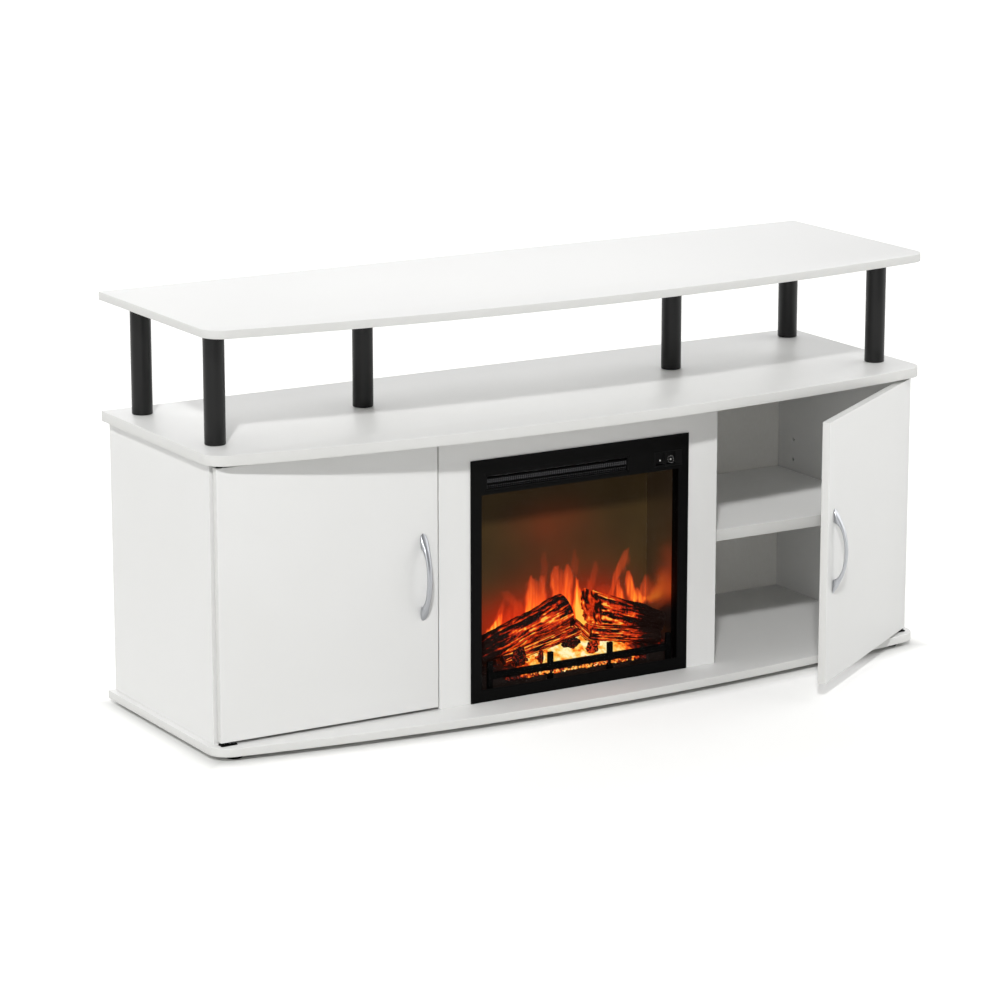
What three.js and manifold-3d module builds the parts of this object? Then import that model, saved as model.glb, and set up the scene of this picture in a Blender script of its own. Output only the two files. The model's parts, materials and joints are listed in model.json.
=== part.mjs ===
// Fireplace TV stand: a bow-fronted cabinet with two pivot-hung doors, an electric log
// fire between them, and a raised top on six round posts.
//
// Units are millimetres and +Z is up. While it is being built, X = 0 is the middle,
// Y = 0 is the back edge of the boards with the front towards -Y, and Z = 0 is the floor.
// At the end the whole stand is centred on its own footprint.

import * as THREE from 'three';
import { mergeVertices } from 'three/addons/utils/BufferGeometryUtils.js';
import Module from 'manifold-3d';

const wasm = await Module();
wasm.setup();

// Clearances
const fit = 0.3; // between pieces that nest or rest on each other
const running = 0.25; // round a shaft or pin that turns
const past = 1; // how far a cutting body reaches past the face it opens

// Boards
const standWidth = 1200;
const boardDepth = 400; // back edge to the crown of the bow
const bowRadius = 3400;
const cornerRadius = 32;
const topThickness = 12;
const cabinetTopThickness = 15;
const baseThickness = 12;
const edgeRound = 0.8;

// Heights between the boards
const glideHeight = 8;
const carcassHeight = 400;
const postHeight = 161;

// Carcass
const panelThickness = 15;
const sideOverhang = 10; // boards past the side panels
const carcassDepth = 320; // back edge to the front edge of the panels
const backThickness = 3;
const backInset = 1;
const backSideInset = 2; // back panel short of the outer faces
const centreWidth = 472; // across the surround and over the partitions
const surroundThickness = 12;

// Shelves and the holes they can be moved to
const shelfThickness = 12;
const shelfFrontSetback = 10;
const shelfSideGap = 1;
const pinRowHeight = 182.5; // above the base, the row in use
const pinRowPitch = 32;
const pinRowsEachWay = 2;
const pinColumnInset = 45; // from the back and from the front of the panels
const pinRadius = 2.5;
const pinHoleDepth = 9;
const pinReach = 8;
const pinNose = 0.8;
const pinFlat = 0.4; // cut off the nose where the shelf lies on it

// Posts
const postRadius = 15;
const postEdgeRound = 1.5;
const outerPostInset = 42; // from the end of the boards
const rearPostInset = 47; // from the back edge
const frontPostInset = 277; // from the back edge
const centrePostX = 264;
const centrePostInset = 163.5; // from the back edge
const boltRadius = 3.5;
const boltHeadRadius = 7;
const boltHeadHeight = 3;
const studDepth = 8; // into the top board

// Glides under the base
const glideRadius = 12;
const glideStemRadius = 2.5;
const glideStemDepth = 7;
const glideTaper = 1.5;
const glideSideInset = 38;
const glideFrontInset = 327; // from the back edge
const glideBackInset = 38;

// Fixings of the carcass
const screwRadius = 2.5;
const screwHeadRadius = 4.5;
const screwHeadHeight = 3;
const screwHeadLand = 0.5;
const screwLength = 44;
const dowelRadius = 3;
const dowelLength = 28;
const dowelDepthInTop = 9;
const fixingInset = 60; // from the back and front edge of a panel

// Doors
const doorThickness = 12;
const doorEndGap = 5; // above and below the door
const doorStandOff = 3.5; // behind the door
const doorInnerGap = 3.5; // to the surround
const doorReveal = 4; // edge of the side panel left showing
const pivotFromEdge = 7;
const pivotFromBack = 6.5;
const rightDoorRest = 34; // degrees open

// Pivots
const pivotPinRadius = 2;
const pivotPinLength = 13;
const pivotPlateLength = 24;
const pivotPlateWidth = 12;
const pivotPlateThickness = 2;
const pivotPlateOutside = 6; // plate past the pivot axis, towards the side panel
const pivotShoulderRadius = 4;
const bushRadius = 3.5;
const bushLength = 14;
const bushFlangeRadius = 5;
const bushFlangeThickness = 1;

// Bow pulls
const pullFromEdge = 24.5; // door's free edge to the middle of the pull
const pullLength = 127;
const pullProjection = 21.5;
const pullHoleSpacing = 96;
const pullGripWidth = 8;
const pullGripThickness = 4.5;
const pullFootWidth = 12.5;
const pullFootLength = 21;
const pullSwellStart = 14; // before the foot
const pullSwellLength = 24;
const pullTipPart = 0.62; // of the foot, over which it narrows to its point
const pullThinnest = 1;
const pullFullness = 2.6; // of its section, 2 for an ellipse and more for a box
const pullScrewRadius = 2;
const pullScrewHeadRadius = 4.2;
const pullScrewHeadHeight = 2.5;
const pullScrewHeadEase = 1;
const pullScrewBite = 3.4;

// Magnetic catches
const catchWidth = 34;
const catchHeight = 13;
const catchDepth = 16;
const catchFromPartition = 29; // partition to the middle of the catch
const catchEarLength = 7;
const catchEarThickness = 2.5;
const catchEarWidth = 8;
const catchEase = 1;
const strikeWidth = 30;
const strikeHeight = 7;
const strikeThickness = 1.1;
const strikeInset = 1; // below the door's upper end

// Fire insert: front plate, case, glass
const insertWidth = 369;
const insertTopMargin = 42.5; // front plate to the cabinet top
const insertPlateThickness = 1.7;
const insertOverlap = 8; // front plate over the surround
const caseDepth = 150;
const caseWall = 1.2;
const caseClearance = 1;
const caseEar = 20; // folded out behind the surround
const caseEarHeight = 36;
const windowSideMargin = 17.5; // plate's edge to the window
const windowBottom = 18.2; // above the plate's lower edge
const windowUnderDeck = 4;
const glassThickness = 3;
const glassLap = 5;
const heaterSpace = 36.1; // clear height between the heater deck and the case roof

// Warm air outlet, left of the controls
const outletSideMargin = 24.5; // plate's edge to the outlet
const outletAboveDeck = 1.5;
const outletTopMargin = 22.5;
const outletToControls = 43.6;
const louvreRim = 2.2;
const louvreDepth = 9;
const louvreSlats = 4;
const louvreSlatThickness = 0.9;
const louvreSlatDepth = 5.5;
const louvreSlatTilt = 25;
const louvreSlatSetback = 0.6;
const louvreRibs = 3;
const louvreRibThickness = 1.4;
const louvreRibSetback = 3.5; // behind the front of the rim
const louvreRibInset = 1; // before the back of the rim

// Controls
const controlSideMargin = 11; // plate's edge to the controls
const controlWidth = 48.9;
const controlAboveOutlet = 0.2; // their lower edge over that of the outlet
const controlBelowOutlet = 1; // their upper edge under that of the outlet
const controlPlateThickness = 2.4;
const rockerPitch = 18.5;
const firstRockerInset = 10.4; // left edge of the controls to the middle of the first
const rockerWidth = 14.5;
const rockerMargin = 2.65; // above and below a rocker
const rockerDepth = 8;
const rockerFaceReach = 4.6; // pivot to the rim of the face
const rockerPivotDepth = 4; // behind the front plate's face
const rockerEase = 0.6;
const rockerTaper = 0.4; // from the face to the middle, above and below
const rockerThrow = 14; // degrees from one side to the other
const rockerCrown = 1.6; // how far the middle of the face is dished
const rockerTrunnion = 1;
const rockerTrunnionReach = 0.6;
const switchWall = 1;
const switchDepth = 13;

// Heater and its cross-flow blower, on the deck
const blowerInset = 25.5; // end of the outlet to the end of the wheel
const blowerShift = 2.5; // to the left of the outlet's middle, for the motor
const blowerFromFront = 76; // case front to the blower axis
const blowerBlades = 16;
const bladeThickness = 0.9;
const bladeDepth = 4.2;
const bladeSweep = 0.34; // radians from its inner to its outer edge
const bladeSink = 0.2; // short of the rim of the discs
const blowerDisc = 1.2;
const shaftRadius = 2;
const journalLength = 6;
const driveLength = 14;
const wheelGap = 1.4; // wheel to the start of the scroll
const scrollGap = 0.15; // scroll to the deck
const scrollWidening = 2.6;
const scrollStart = 70; // degrees above the way to the back
const scrollSweep = 160; // degrees
const tongueStart = 150; // degrees
const tongueReach = 6;
const scrollThickness = 0.9;
const scrollEndGap = 2.5;
const scrollReach = 44; // blower axis to the mouth of the scroll
const motorClearance = 4.55; // motor to the deck
const motorLength = 34;
const motorGap = 1; // scroll to the motor
const motorBossStep = 5; // boss round the shaft, inside the motor's radius
const motorBossLength = 3;
const motorEase = 3;
const motorBoreDepth = 16;
const motorFootStart = 8;
const elementDepth = 12;
const elementBelowScroll = 5;
const elementFromFront = 14;
const elementFins = 18;
const finThickness = 1;
const finInset = 0.5;
const elementRail = 1.6;

// Flame effect: screen, spindle with foil flags, its motor, lights under the bed
const screenFromFront = 91.5;
const screenThickness = 2;
const spindleFromFront = 119;
const spindleHeight = 62; // above the floor
const spindleRadius = 1.8;
const spindleBossWall = 3;
const spindleBossLength = 6;
const spindleEndGap = 1;
const spindleDriveLength = 6;
const flagEndGap = 8; // last flag to the motor
const flagCount = 13;
const flagRadius = 18;
const flagLength = 15;
const flagThickness = 0.8;
const spindleMotorRadius = 15;
const spindleMotorLength = 15;
const spindleMotorBoss = 3;
const spindleMotorBore = 8;
const lightBoardEndGap = 15; // short of the ember bed
const lightBoardWidth = 16;
const lightBoardThickness = 1.6;
const lightCount = 10;
const lightSize = 5;
const lightHeight = 1.4;
const lightLegHeight = 4;
const lightLegRadius = 2.5;
const lightLegInset = 8; // from the ends of the board
const lightLegFromEdge = 4;

// Log set
const bedEndGap = 9.3; // to the walls of the case
const bedFrontGap = 10.5; // case front to the bed
const bedBack = 85; // case front to the back of the bed
const bedEdgeHeight = 31; // above the case floor
const bedMoundHeight = 28;
const bedMoundReach = 105;
const bedMoundX = 12;
const bedRipple = 3;
const bedRipplePitch = 46;
const bedColumns = 24;
const bedRows = 5;
const lightChannelDepth = 26;
const lightChannelHeight = 12;
const lightChannelEndGap = 4;
const logSides = 14;
const logRings = 9;
const barkRidge = 0.07;
const logRadius = 22; // of the thickest end
const logCrook = 3;
const grateShift = 5; // the moulded grate sits a little to the right
const grateEndGap = 7.5; // short of the ember bed
const grateFromFront = 4.5; // case front to the rail
const gratePosts = 4;
const gratePostWidth = 9;
const gratePostHeight = 55;
const gratePostSetback = 0.2;
const gratePostProud = 0.4; // behind the rail
const grateDepth = 5;
const grateRailBottom = 28;
const grateRailHeight = 11;

// Back of the insert
const ventWidth = 4;
const ventHeight = 22;
const ventMargin = 7; // to the deck and to the roof
const ventAboveFloor = 8;
const ventPitch = 14;
const ventCount = 11;
const glandSideInset = 25.5; // end of the case to the middle of the gland
const glandHeight = 40; // above the floor
const glandRadius = 8;
const glandBore = 3.6;
const glandLength = 14;
const glandNeckStep = 2;
const glandNut = 3;
const glandEase = 1.5;

// Levels and faces that follow from the sizes above
const baseBottom = glideHeight;
const baseTop = baseBottom + baseThickness;
const carcassTop = baseTop + carcassHeight;
const cabinetTopFace = carcassTop + cabinetTopThickness;
const topBottom = cabinetTopFace + postHeight;
const topFace = topBottom + topThickness;
const carcassBack = -(backInset + backThickness);
const carcassFront = -carcassDepth;
const surroundFace = carcassFront - surroundThickness;
const sideOuter = standWidth / 2 - sideOverhang;
const sideInner = sideOuter - panelThickness;
const partitionOuter = centreWidth / 2;
const partitionInner = partitionOuter - panelThickness;
const pinRow = baseTop + pinRowHeight;
const shelfBottom = pinRow + pinRadius - pinFlat;
const panelMiddles = [
  -sideOuter + panelThickness / 2,
  -partitionOuter + panelThickness / 2,
  partitionOuter - panelThickness / 2,
  sideOuter - panelThickness / 2,
];
const fixingRows = [carcassBack - fixingInset, carcassFront + fixingInset];
const pinColumns = [-pinColumnInset, carcassFront + pinColumnInset];

const doorBottom = baseTop + doorEndGap;
const doorTop = carcassTop - doorEndGap;
const doorBackFace = carcassFront - doorStandOff;
const doorWidth = sideOuter - doorReveal - partitionOuter - doorInnerGap;
const pivotX = sideOuter - doorReveal - pivotFromEdge;
const pivotY = doorBackFace - pivotFromBack;
const doorFront = pivotFromBack - doorThickness; // front face, from the pivot
const freeEdge = doorWidth - pivotFromEdge; // free edge, from the pivot
const pullX = freeEdge - pullFromEdge;
const pullHeight = baseTop + carcassHeight / 2; // middle of the pull

const plateBottom = baseTop + fit;
const plateTop = carcassTop - insertTopMargin;
const plateBack = surroundFace - fit;
const plateFace = plateBack - insertPlateThickness;
const windowHalfWidth = insertWidth / 2 - windowSideMargin;
const openingHalfWidth = insertWidth / 2 - insertOverlap;
const openingTop = plateTop - insertOverlap;
const caseHalfWidth = openingHalfWidth - caseClearance;
const caseTop = openingTop - caseClearance;
const caseFront = plateBack + 2 * fit;
const caseBack = caseFront + caseDepth;
const caseInside = caseHalfWidth - caseWall;
const caseFloor = plateBottom + caseWall;
const deckTop = caseTop - caseWall - heaterSpace;
const deckBottom = deckTop - caseWall;
const windowTop = deckBottom - windowUnderDeck;
const heaterMiddle = deckTop + heaterSpace / 2;
const spindleY = caseFront + spindleFromFront;

const outletBottom = deckBottom + outletAboveDeck;
const outletTop = plateTop - outletTopMargin;
const outletLeft = outletSideMargin - insertWidth / 2;
const controlRight = insertWidth / 2 - controlSideMargin;
const controlLeft = controlRight - controlWidth;
const controlBottom = outletBottom + controlAboveOutlet;
const controlTop = outletTop - controlBelowOutlet;
const outletRight = controlLeft - outletToControls;
const rockerHeight = controlTop - controlBottom - 2 * rockerMargin;

const blowerLength = outletRight - outletLeft - 2 * blowerInset;
const blowerMiddleX = (outletLeft + outletRight) / 2 - blowerShift;
const blowerY = caseFront + blowerFromFront;
const scrollEndRadius = heaterSpace / 2 - scrollThickness - scrollGap;
const scrollStartRadius = scrollEndRadius - scrollWidening;
const blowerRadius = scrollStartRadius - wheelGap;
const motorRadius = heaterSpace / 2 - motorClearance;
const elementHalfHeight = scrollEndRadius - elementBelowScroll;

const bedHalfLength = caseInside - bedEndGap;
const lightBoardHalfLength = bedHalfLength - lightBoardEndGap;
const grateHalfLength = bedHalfLength - grateEndGap;
const gratePitch = (2 * grateHalfLength - gratePostWidth) / (gratePosts - 1);
const glandX = caseHalfWidth - glandSideInset;
const glandNeck = glandRadius - glandNeckStep;

const finishes = {
  whiteLaminate: { color: 0xf1f1ef, roughness: 0.5, metalness: 0 },
  whiteFoil: { color: 0xe9e9e6, roughness: 0.6, metalness: 0 },
  blackPlastic: { color: 0x17171a, roughness: 0.4, metalness: 0 },
  blackSteel: { color: 0x0f0f10, roughness: 0.35, metalness: 0 },
  satinMetal: { color: 0xb9bbbf, roughness: 0.32, metalness: 1 },
  zincSteel: { color: 0xa9acb0, roughness: 0.4, metalness: 1 },
  darkGlass: { color: 0x1a1a1a, roughness: 0.05, metalness: 0, transparent: true, opacity: 0.35 },
  smokedAcrylic: { color: 0x2b2013, roughness: 0.15, metalness: 0 },
  aluminium: { color: 0xc8cacc, roughness: 0.35, metalness: 1 },
  charredResin: { color: 0x2a1a12, roughness: 0.8, metalness: 0 },
  emberResin: { color: 0xff7a1a, roughness: 0.6, metalness: 0 },
  circuitBoard: { color: 0x1f5a2c, roughness: 0.5, metalness: 0 },
  whitePlastic: { color: 0xe4e4e2, roughness: 0.5, metalness: 0 },
};

// Meshes, solids and placing

function weld(geometry) {
  const bare = new THREE.BufferGeometry();
  bare.setAttribute('position', geometry.getAttribute('position').clone());
  if (geometry.index) bare.setIndex(geometry.index.clone());
  const merged = mergeVertices(bare, 1e-4);
  const index = merged.index.array;
  const position = merged.getAttribute('position');
  const corners = [new THREE.Vector3(), new THREE.Vector3(), new THREE.Vector3()];
  const kept = [];
  let volume = 0;
  for (let i = 0; i < index.length; i += 3) {
    const [a, b, c] = [index[i], index[i + 1], index[i + 2]];
    if (a === b || b === c || c === a) continue;
    kept.push(a, b, c);
    corners.forEach((corner, k) => corner.fromBufferAttribute(position, index[i + k]));
    volume += corners[0].dot(corners[1].cross(corners[2]));
  }
  if (volume < 0) {
    for (let i = 0; i < kept.length; i += 3) {
      [kept[i], kept[i + 1]] = [kept[i + 1], kept[i]];
    }
  }
  merged.setIndex(kept);
  return merged;
}

function toSolid(geometry) {
  const welded = weld(geometry);
  return new wasm.Manifold(new wasm.Mesh({
    numProp: 3,
    vertProperties: new Float32Array(welded.getAttribute('position').array),
    triVerts: new Uint32Array(welded.index.array),
  }));
}

function toGeometry(solid) {
  const mesh = solid.getMesh();
  const geometry = new THREE.BufferGeometry();
  geometry.setAttribute('position', new THREE.BufferAttribute(mesh.vertProperties, 3));
  geometry.setIndex(new THREE.BufferAttribute(mesh.triVerts, 1));
  return geometry;
}

function cut(body, tools) {
  return toGeometry(tools.reduce((solid, tool) => solid.subtract(toSolid(tool)), toSolid(body)));
}

function join(bodies) {
  return toGeometry(bodies.slice(1).reduce((solid, body) => solid.add(toSolid(body)), toSolid(bodies[0])));
}

function addPiece(parent, name, geometry, finish) {
  const material = new THREE.MeshStandardMaterial({ ...finishes[finish], flatShading: true });
  const mesh = new THREE.Mesh(weld(geometry), material);
  mesh.name = name;
  parent.add(mesh);
}

// Outlines

function arcPoints(cx, cy, radius, from, to, steps) {
  return Array.from({ length: steps + 1 }, (_, i) => {
    const angle = from + (to - from) * i / steps;
    return new THREE.Vector2(cx + radius * Math.cos(angle), cy + radius * Math.sin(angle));
  });
}

function rectangle(x0, y0, x1, y1) {
  return new THREE.Shape([
    new THREE.Vector2(x0, y0),
    new THREE.Vector2(x1, y0),
    new THREE.Vector2(x1, y1),
    new THREE.Vector2(x0, y1),
  ]);
}

function disc(cx, cy, radius, sides = 16) {
  return new THREE.Shape(arcPoints(cx, cy, radius, 0, 2 * Math.PI * (sides - 1) / sides, sides - 1));
}

// The flats of a bored polygon clear the round thing that goes into it.
function bore(cx, cy, radius, sides = 12) {
  return disc(cx, cy, radius / Math.cos(Math.PI / sides), sides);
}

// Straight back and sides, a shallow bow in front, and rounded front corners that run
// smoothly into both.
function boardOutline() {
  const bowY = bowRadius - boardDepth;
  const cornerX = standWidth / 2 - cornerRadius;
  const cornerY = bowY - Math.sqrt((bowRadius - cornerRadius) ** 2 - cornerX ** 2);
  const sweep = Math.atan2(cornerX, bowY - cornerY);
  const down = 1.5 * Math.PI;
  return new THREE.Shape([
    new THREE.Vector2(-standWidth / 2, 0),
    ...arcPoints(-cornerX, cornerY, cornerRadius, Math.PI, down - sweep, 6),
    ...arcPoints(0, bowY, bowRadius, down - sweep, down + sweep, 20).slice(1, -1),
    ...arcPoints(cornerX, cornerY, cornerRadius, down + sweep, 2 * Math.PI, 6),
    new THREE.Vector2(standWidth / 2, 0),
  ]);
}

// Forms

const right = new THREE.Vector3(1, 0, 0);
const back = new THREE.Vector3(0, 1, 0);
const up = new THREE.Vector3(0, 0, 1);
const turns = {
  x: new THREE.Matrix4().makeBasis(back, up, right),
  y: new THREE.Matrix4().makeBasis(right, up, back.clone().negate()),
  z: new THREE.Matrix4(),
};

// A shape drawn in (Y, Z), (X, Z) or (X, Y) is extruded along x, y or z.
function extrude(shape, axis, from, to, round = 0) {
  const start = axis === 'y' ? -Math.max(from, to) : Math.min(from, to);
  const geometry = new THREE.ExtrudeGeometry(shape, {
    depth: Math.abs(to - from) - 2 * round,
    bevelEnabled: round > 0,
    bevelThickness: round,
    bevelSize: round,
    bevelOffset: -round,
    bevelSegments: 1,
  });
  geometry.translate(0, 0, start + round);
  geometry.applyMatrix4(turns[axis]);
  return geometry;
}

function box(x0, x1, y0, y1, z0, z1) {
  return extrude(rectangle(x0, y0, x1, y1), 'z', z0, z1);
}

// A profile of [radius, height] points turned about a line along x, y or z. For y the
// heights run to the front.
function turned(profile, axis, centre, sides = 16) {
  const points = profile.map(([radius, height]) => new THREE.Vector2(radius, height));
  const geometry = new THREE.LatheGeometry(points, sides);
  geometry.rotateX(Math.PI / 2);
  geometry.applyMatrix4(turns[axis]);
  geometry.translate(...centre);
  return geometry;
}

// Skin over a row of rings with the same number of points, closed flat at both ends.
function loft(rings) {
  const count = rings[0].length;
  const positions = rings.flat().flatMap((point) => point.toArray());
  const index = [];
  for (let i = 0; i < rings.length - 1; i += 1) {
    for (let j = 0; j < count; j += 1) {
      const next = (j + 1) % count;
      const [a, b, c, d] = [i * count + j, i * count + next, (i + 1) * count + next, (i + 1) * count + j];
      index.push(a, b, c, a, c, d);
    }
  }
  [0, rings.length - 1].forEach((ring, end) => {
    const middle = new THREE.Vector3();
    rings[ring].forEach((point) => middle.addScaledVector(point, 1 / count));
    positions.push(...middle.toArray());
    const hub = rings.length * count + end;
    for (let j = 0; j < count; j += 1) {
      const [a, b] = [ring * count + j, ring * count + (j + 1) % count];
      index.push(...(end ? [hub, a, b] : [hub, b, a]));
    }
  });
  const geometry = new THREE.BufferGeometry();
  geometry.setAttribute('position', new THREE.Float32BufferAttribute(positions, 3));
  geometry.setIndex(index);
  return geometry;
}

const stand = new THREE.Group();
const sides = [{ name: 'left', sign: -1 }, { name: 'right', sign: 1 }];

// Posts and what holds them

const outerPostX = standWidth / 2 - outerPostInset;
const posts = [
  { name: 'post_front_left', x: -outerPostX, y: -frontPostInset },
  { name: 'post_front_right', x: outerPostX, y: -frontPostInset },
  { name: 'post_rear_left', x: -outerPostX, y: -rearPostInset },
  { name: 'post_rear_right', x: outerPostX, y: -rearPostInset },
  { name: 'post_centre_left', x: -centrePostX, y: -centrePostInset },
  { name: 'post_centre_right', x: centrePostX, y: -centrePostInset },
];
const boltHole = boltRadius + fit;

// One turning: the bolt with its head under the cabinet top, the post, and the stud that
// screws into the top board.
function post({ x, y }) {
  const shankStart = boltHeadHeight - fit;
  const foot = boltHeadHeight + cabinetTopThickness;
  const head = foot + postHeight;
  const tip = head + studDepth;
  return turned([
    [0, 0],
    [boltHeadRadius, 0],
    [boltHeadRadius, shankStart],
    [boltRadius, shankStart],
    [boltRadius, foot],
    [postRadius - postEdgeRound, foot],
    [postRadius, foot + postEdgeRound],
    [postRadius, head - postEdgeRound],
    [postRadius - postEdgeRound, head],
    [boltRadius, head],
    [boltRadius, tip],
    [0, tip],
  ], 'z', [x, y, carcassTop - boltHeadHeight], 16);
}

// Fixings

const fixings = panelMiddles.flatMap((x) => fixingRows.map((y) => ({ x, y })));

function baseScrew({ x, y }, extra = 0) {
  const tip = screwLength + extra;
  return turned([
    [0, -extra],
    [screwHeadRadius + extra, -extra],
    [screwHeadRadius + extra, screwHeadLand],
    [screwRadius + extra, screwHeadHeight],
    [screwRadius + extra, tip - screwRadius],
    [0, tip],
  ], 'z', [x, y, baseBottom], 6);
}

function dowel({ x, y }, extra = 0) {
  const top = carcassTop + dowelDepthInTop;
  const shape = extra ? bore(x, y, dowelRadius + extra, 6) : disc(x, y, dowelRadius, 6);
  return extrude(shape, 'z', top + extra - dowelLength - 2 * extra, top + extra);
}

function glide({ x, y }, extra = 0) {
  const top = glideHeight + glideStemDepth + extra;
  return turned([
    [0, 0],
    [glideRadius - glideTaper, 0],
    [glideRadius, glideTaper],
    [glideRadius, glideHeight - fit],
    [glideStemRadius + extra, glideHeight - fit],
    [glideStemRadius + extra, top],
    [0, top],
  ], 'z', [x, y, 0], 12);
}

const glideX = standWidth / 2 - glideSideInset;
const glides = [
  { name: 'glide_front_left', x: -glideX, y: -glideFrontInset },
  { name: 'glide_front_right', x: glideX, y: -glideFrontInset },
  { name: 'glide_rear_left', x: -glideX, y: -glideBackInset },
  { name: 'glide_rear_right', x: glideX, y: -glideBackInset },
];

// Boards

function boards() {
  const topHoles = posts.map(({ x, y }) => (
    extrude(bore(x, y, boltHole, 8), 'z', topBottom - past, topBottom + studDepth + fit)));
  const boltHoles = posts.map(({ x, y }) => (
    extrude(bore(x, y, boltHole, 8), 'z', carcassTop - past, cabinetTopFace + past)));
  const outline = boardOutline();
  addPiece(stand, 'top_board',
    cut(extrude(outline, 'z', topBottom, topFace, edgeRound), topHoles), 'whiteLaminate');
  addPiece(stand, 'cabinet_top',
    cut(extrude(outline, 'z', carcassTop, cabinetTopFace, edgeRound),
      [...boltHoles, ...fixings.map((place) => dowel(place, fit))]), 'whiteLaminate');
  addPiece(stand, 'base_board',
    cut(extrude(outline, 'z', baseBottom, baseTop, edgeRound),
      [...fixings.map((place) => baseScrew(place, fit)), ...glides.map((place) => glide(place, fit))]),
    'whiteLaminate');
}

// Upright panels: side panels and partitions are drilled for shelf pins towards the
// compartment between them.

function pinHoles(face, inward) {
  const rows = Array.from({ length: 2 * pinRowsEachWay + 1 }, (_, i) => i - pinRowsEachWay);
  return rows.flatMap((row) => pinColumns.map((y) => extrude(
    bore(y, pinRow + row * pinRowPitch, pinRadius + fit, 6),
    'x', face - inward, face + inward * pinHoleDepth)));
}

// The dowels are glued into the upright and the base screws are driven into it, so they
// are one solid with it.
function upright(middle, holes) {
  const half = panelThickness / 2;
  const panel = extrude(rectangle(carcassFront, baseTop, carcassBack, carcassTop), 'x',
    middle - half, middle + half, edgeRound / 2);
  const pegs = fixingRows.flatMap((y) => [dowel({ x: middle, y }), baseScrew({ x: middle, y })]);
  return join([cut(panel, holes), ...pegs]);
}

function uprights() {
  for (const { name, sign } of sides) {
    const [sideMiddle, partitionMiddle] = [sideOuter, partitionOuter]
      .map((outer) => sign * (outer - panelThickness / 2));
    addPiece(stand, `side_panel_${name}`,
      upright(sideMiddle, pinHoles(sign * sideInner, sign)), 'whiteLaminate');
    addPiece(stand, `partition_${name}`,
      upright(partitionMiddle, pinHoles(sign * partitionOuter, -sign)), 'whiteLaminate');
    const ends = [partitionInner + backSideInset, sideOuter - backSideInset];
    addPiece(stand, `back_panel_${name}`, box(sign * ends[0], sign * ends[1],
      -backInset, carcassBack + fit / 3, baseTop + fit, carcassTop - fit), 'whiteFoil');
  }
}

// Shelves on pins

function shelfPin(face, inward, y) {
  return turned([
    [0, -pinReach],
    [pinRadius, -pinReach],
    [pinRadius, pinReach - pinNose],
    [pinRadius - pinNose, pinReach],
    [0, pinReach],
  ], 'x', [0, 0, 0], 8)
    .scale(inward, 1, 1)
    .translate(face, y, pinRow);
}

function shelves() {
  for (const { name, sign } of sides) {
    const ends = [partitionOuter + shelfSideGap, sideInner - shelfSideGap];
    const outline = rectangle(sign * ends[0], carcassFront + shelfFrontSetback,
      sign * ends[1], carcassBack - shelfSideGap);
    const shelf = extrude(outline, 'z', shelfBottom, shelfBottom + shelfThickness, edgeRound);
    const pins = pinColumns.flatMap((y) => [
      shelfPin(sign * partitionOuter, sign, y),
      shelfPin(sign * sideInner, -sign, y),
    ]);
    addPiece(stand, `shelf_${name}`, join([shelf, ...pins]), 'whiteLaminate');
  }
}

// Surround of the fire, one panel with the opening cut out of its foot

function surround() {
  const outline = new THREE.Shape([
    [-partitionOuter, baseTop],
    [-openingHalfWidth, baseTop],
    [-openingHalfWidth, openingTop],
    [openingHalfWidth, openingTop],
    [openingHalfWidth, baseTop],
    [partitionOuter, baseTop],
    [partitionOuter, carcassTop],
    [-partitionOuter, carcassTop],
  ].map(([x, z]) => new THREE.Vector2(x, z)));
  addPiece(stand, 'fire_surround', extrude(outline, 'y', surroundFace, carcassFront, edgeRound / 2),
    'whiteLaminate');
}

// Doors. Each is built round its pivot axis and then hung in the cabinet.

function bush(bottomUp) {
  const innerRadius = pivotPinRadius + running;
  const profile = [
    [innerRadius, -bushLength],
    [bushRadius, -bushLength],
    [bushRadius, fit / 3],
    [bushFlangeRadius, fit / 3],
    [bushFlangeRadius, bushFlangeThickness],
    [innerRadius, bushFlangeThickness],
    [innerRadius, -bushLength],
  ];
  return turned(profile, 'z', [0, 0, 0], 10)
    .scale(1, 1, bottomUp ? 1 : -1)
    .translate(0, 0, bottomUp ? doorTop : doorBottom);
}

function pivotBracket(sign, top) {
  const seat = top ? carcassTop : baseTop;
  const out = top ? -1 : 1;
  const x = sign * pivotX;
  const plate = extrude(
    rectangle(x + sign * pivotPlateOutside, pivotY - pivotPlateWidth / 2,
      x + sign * (pivotPlateOutside - pivotPlateLength), pivotY + pivotPlateWidth / 2),
    'z', seat, seat + out * pivotPlateThickness);
  const bushFace = (top ? doorTop : doorBottom) - out * bushFlangeThickness;
  const insidePlate = seat + out * pivotPlateThickness / 2;
  const shoulder = extrude(disc(x, pivotY, pivotShoulderRadius, 10), 'z',
    insidePlate, bushFace - out * fit);
  const pin = extrude(disc(x, pivotY, pivotPinRadius, 10), 'z',
    insidePlate, seat + out * (doorEndGap + pivotPinLength));
  return join([plate, shoulder, pin]);
}

function ringAt(height, halfWidth, inner, outer, fullness, count) {
  const middle = (inner + outer) / 2;
  const half = (outer - inner) / 2;
  const soften = (value) => Math.sign(value) * Math.abs(value) ** (2 / fullness);
  return Array.from({ length: count }, (_, i) => {
    const angle = 2 * Math.PI * i / count;
    return new THREE.Vector3(
      halfWidth * soften(Math.cos(angle)), -(middle + half * soften(Math.sin(angle))), height);
  });
}

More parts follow.
